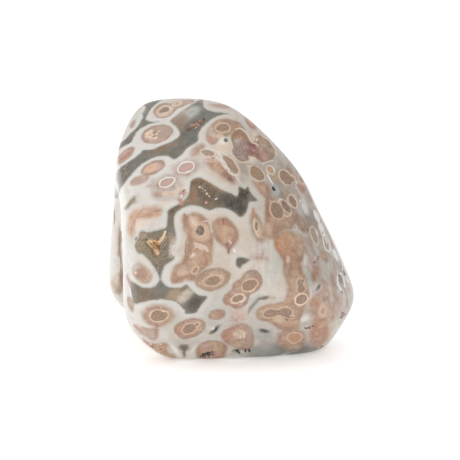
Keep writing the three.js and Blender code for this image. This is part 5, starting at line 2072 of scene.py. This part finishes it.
def window_colour(tree, noises, window_mm):
    """Clouds the windows' glass, and lets it glow near its edges."""
    window = cloud_over(tree, noises, attribute(tree, "window")["Color"], WINDOW_CLOUDS)
    glow = product(tree, ramp(tree, window_mm, -0.75, -0.1), ramp(tree, noises["clouds"], 0.4, 0.62))
    return blend(tree, product(tree, glow, 0.4), window, shade("glow"))


def body_colour(tree, noises):
    """Clouds the orbs' bodies, and gives the crisp ones a thin rind."""
    body_mm = wobbling(tree, noises, attribute(tree, "body")["Alpha"], 1)
    body = attribute(tree, "body")["Color"]
    body = blend(tree, ramp(tree, body_mm, -0.3, -1.6, 0, 0.3), body, shade("peach"))
    body = cloud_over(tree, noises, body, BODY_CLOUDS)
    rind = product(tree, ramp(tree, body_mm, 0.08, -0.08), ramp(tree, body_mm, -0.75, -0.12))
    softness = attribute(tree, "body_softness")["Fac"]
    rind = product(tree, rind, ramp(tree, softness, 0.2, 0.45, 0.6, 0))
    return blend(tree, rind, body, shade("rind"))


def lay_bodies(tree, noises, colour):
    """Lays the orbs' bodies, and the tones inside them, over a colour."""
    body_edge = wobbling(tree, noises, attribute(tree, "body_edge")["Fac"], 3)
    colour = blend(tree, ramp(tree, body_edge, 1.3, -1.3), colour, body_colour(tree, noises))
    inner_edge = wobbling(tree, noises, attribute(tree, "inner_edge")["Fac"], 3)
    inner = cloud_over(tree, noises, attribute(tree, "inner")["Color"], INNER_CLOUDS)
    return blend(tree, ramp(tree, inner_edge, 1, -1), colour, inner)


def lay_cores(tree, noises, colour):
    """Lays the rings and the darker cores, each with a rim, over a colour."""
    ring_mm = wobbling(tree, noises, attribute(tree, "ring")["Alpha"], 0.7)
    colour = blend(tree, ramp(tree, ring_mm, 0.12, -0.1), colour, attribute(tree, "ring")["Color"])
    core_mm = wobbling(tree, noises, attribute(tree, "core")["Alpha"], 0.7)
    core = attribute(tree, "core")["Color"]
    core = blend(tree, ramp(tree, core_mm, -0.28, -0.06, 0, 0.55), core, shade("core rim"))
    core = cloud_over(tree, noises, core, CORE_CLOUDS)
    return blend(tree, ramp(tree, core_mm, 0.1, -0.1), colour, core)


def lay_crystals(tree, noises, colour):
    """Lays the colour of the crystals that line the pockets over a colour."""
    facets = ramp(tree, noises["tiny"], 0.42, 0.68)
    crystal = blend(tree, facets, shade("crystal shade"), shade("crystal light"))
    return blend(tree, ramp(tree, attribute(tree, "pocket")["Fac"], 0.25, 0.7), colour, crystal)


def lay_flecks(tree, noises, colour):
    """Lays the small marks, and the glints on them, over a colour."""
    for name in ("fleck", "glint"):
        mark_mm = wobbling(tree, noises, attribute(tree, name)["Alpha"], 0.6)
        colour = blend(tree, ramp(tree, mark_mm, 0.1, -0.1), colour, attribute(tree, name)["Color"])
    return colour


def lay_grain(tree, noises, colour, window_mm):
    """Lays the stone's fine grain and the grit of the gritty patches over a colour."""
    colour = cloud_over(tree, noises, colour, FINE_CLOUDS)
    pale_grain = ramp(tree, noises["cloth"], 0.48, 0.25, 0, 0.12)
    pale_grain = product(tree, pale_grain, ramp(tree, window_mm, -0.2, 0.2, 0.3, 1))
    colour = blend(tree, pale_grain, colour, shade("pale grain"))
    grit = attribute(tree, "grit")["Fac"]
    dark_grit = product(tree, grit, ramp(tree, noises["tiny"], 0.5, 0.66, 0, 0.7))
    colour = blend(tree, dark_grit, colour, shade("dark brown"))
    light_grit = product(tree, grit, ramp(tree, noises["sand"], 0.56, 0.7, 0, 0.7))
    return blend(tree, light_grit, colour, shade("pale peach"))


def stone_material():
    """Makes the polished jasper: its coats of markings laid over one another under a glossy polish."""
    material = bpy.data.materials.new("polished jasper")
    material.use_nodes = True
    tree = material.node_tree
    tree.nodes.clear()
    place = add_node(tree, "ShaderNodeTexCoord").outputs["Object"]
    noises = {name: speckle(tree, place, *noise) for name, noise in NOISES.items()}
    window_mm = wobbling(tree, noises, attribute(tree, "window")["Alpha"], 1)
    in_window = ramp(tree, window_mm, 0.22, -0.2)
    ground = ground_colour(tree, noises, window_mm)
    colour = blend(tree, in_window, ground, window_colour(tree, noises, window_mm))
    colour = lay_bodies(tree, noises, colour)
    colour = lay_cores(tree, noises, colour)
    colour = lay_crystals(tree, noises, colour)
    colour = lay_flecks(tree, noises, colour)
    colour = lay_grain(tree, noises, colour, window_mm)
    roughness = ramp(tree, attribute(tree, "pocket")["Fac"], 0.1, 0.6, POLISH, CRYSTAL_ROUGHNESS)
    inputs = {"Base Color": colour, "Roughness": roughness, "IOR": CHALCEDONY_IOR}
    shader = add_node(tree, "ShaderNodeBsdfPrincipled", inputs)
    add_node(tree, "ShaderNodeOutputMaterial", {"Surface": shader.outputs["BSDF"]})
    return material


def make_stone():
    """Makes the stone and stands it in for the plain solid."""
    stone = bpy.data.objects.new("polished_stone", stone_mesh())
    bpy.context.scene.collection.objects.link(stone)
    stone.data.materials.append(stone_material())
    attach(stone, "root")
    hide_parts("stone")


def floor_material():
    """Makes the plain white of the floor, which glows a little so that it stays pale."""
    material = bpy.data.materials.new("pale floor")
    material.use_nodes = True
    shader = material.node_tree.nodes["Principled BSDF"]
    shader.inputs["Base Color"].default_value = FLOOR_WHITE
    shader.inputs["Roughness"].default_value = 1
    shader.inputs["Specular IOR Level"].default_value = 0
    shader.inputs["Emission Color"].default_value = (1, 1, 1, 1)
    shader.inputs["Emission Strength"].default_value = FLOOR_GLOW
    return material


def make_floor():
    """Makes the plain pale floor, whose far edge is out of sight."""
    ring = []
    for side in range(FLOOR_SIDES):
        turn = 2 * math.pi * side / FLOOR_SIDES
        ring.append((FLOOR_RADIUS * math.cos(turn), FLOOR_RADIUS * math.sin(turn), 0))
    mesh = bpy.data.meshes.new("floor")
    mesh.from_pydata(ring, [], [list(range(FLOOR_SIDES))])
    mesh.materials.append(floor_material())
    floor = bpy.data.objects.new("floor", mesh)
    bpy.context.scene.collection.objects.link(floor)


def add_lamp():
    """Adds the small lamp whose crisp reflection shows on the stone's front."""
    light = bpy.data.lights.new("lamp", "AREA")
    light.shape = "RECTANGLE"
    light.size, light.size_y = LAMP_SIZE[0] * MM, LAMP_SIZE[1] * MM
    light.energy = LAMP_GLARE * math.pi * light.size * light.size_y
    lamp = bpy.data.objects.new("lamp", light)
    spot = Vector(LAMP_SPOT) * MM
    lamp.location = spot + Vector(towards(LAMP_AZIMUTH, LAMP_RISE)) * LAMP_DISTANCE * MM
    aim = (spot - lamp.location).to_track_quat("-Z", "Y")
    lamp.rotation_euler = (aim @ Quaternion((0, 0, 1), math.radians(LAMP_TURN))).to_euler()
    bpy.context.scene.collection.objects.link(lamp)


def closeness_to(tree, direction, side):
    """Gives how nearly a direction points to a side."""
    node = add_node(tree, "ShaderNodeVectorMath", {0: direction, 1: side}, operation="DOT_PRODUCT")
    return node.outputs["Value"]


def light_studio():
    """Lights the scene like a small white studio, brighter at the left and dimmer at the right."""
    world = bpy.data.worlds.new("studio")
    bpy.context.scene.world = world
    world.use_nodes = True
    tree = world.node_tree
    background = tree.nodes["Background"]
    direction = add_node(tree, "ShaderNodeTexCoord").outputs["Generated"]
    left = closeness_to(tree, direction, BRIGHT_SIDE)
    right = closeness_to(tree, direction, DIM_SIDE)
    gain = ramp(tree, left, *BRIGHT_SPREAD, STUDIO_LIGHT, STUDIO_LIGHT + BRIGHT_GAIN)
    loss = ramp(tree, right, *DIM_SPREAD, 0, DIM_LOSS)
    tree.links.new(calculate(tree, "SUBTRACT", gain, loss), background.inputs["Strength"])
    background.inputs["Color"].default_value = (1, 1, 1, 1)


def add_camera():
    """Adds the camera of the photograph."""
    data = bpy.data.cameras.new("camera")
    data.sensor_width = SENSOR
    data.lens = SENSOR * DISTANCE / (2 * CENTRE_PIXEL * PIXEL)
    data.clip_start = 0.01
    camera = bpy.data.objects.new("camera", data)
    turn = Matrix((RIGHT, UP, BACK)).transposed().to_4x4()
    camera.matrix_world = Matrix.Translation(Vector(AIM + BACK * DISTANCE) * MM) @ turn
    bpy.context.scene.collection.objects.link(camera)
    bpy.context.scene.camera = camera
    bpy.context.scene.view_settings.view_transform = "Standard"


make_stone()
make_floor()
light_studio()
add_lamp()
add_camera()
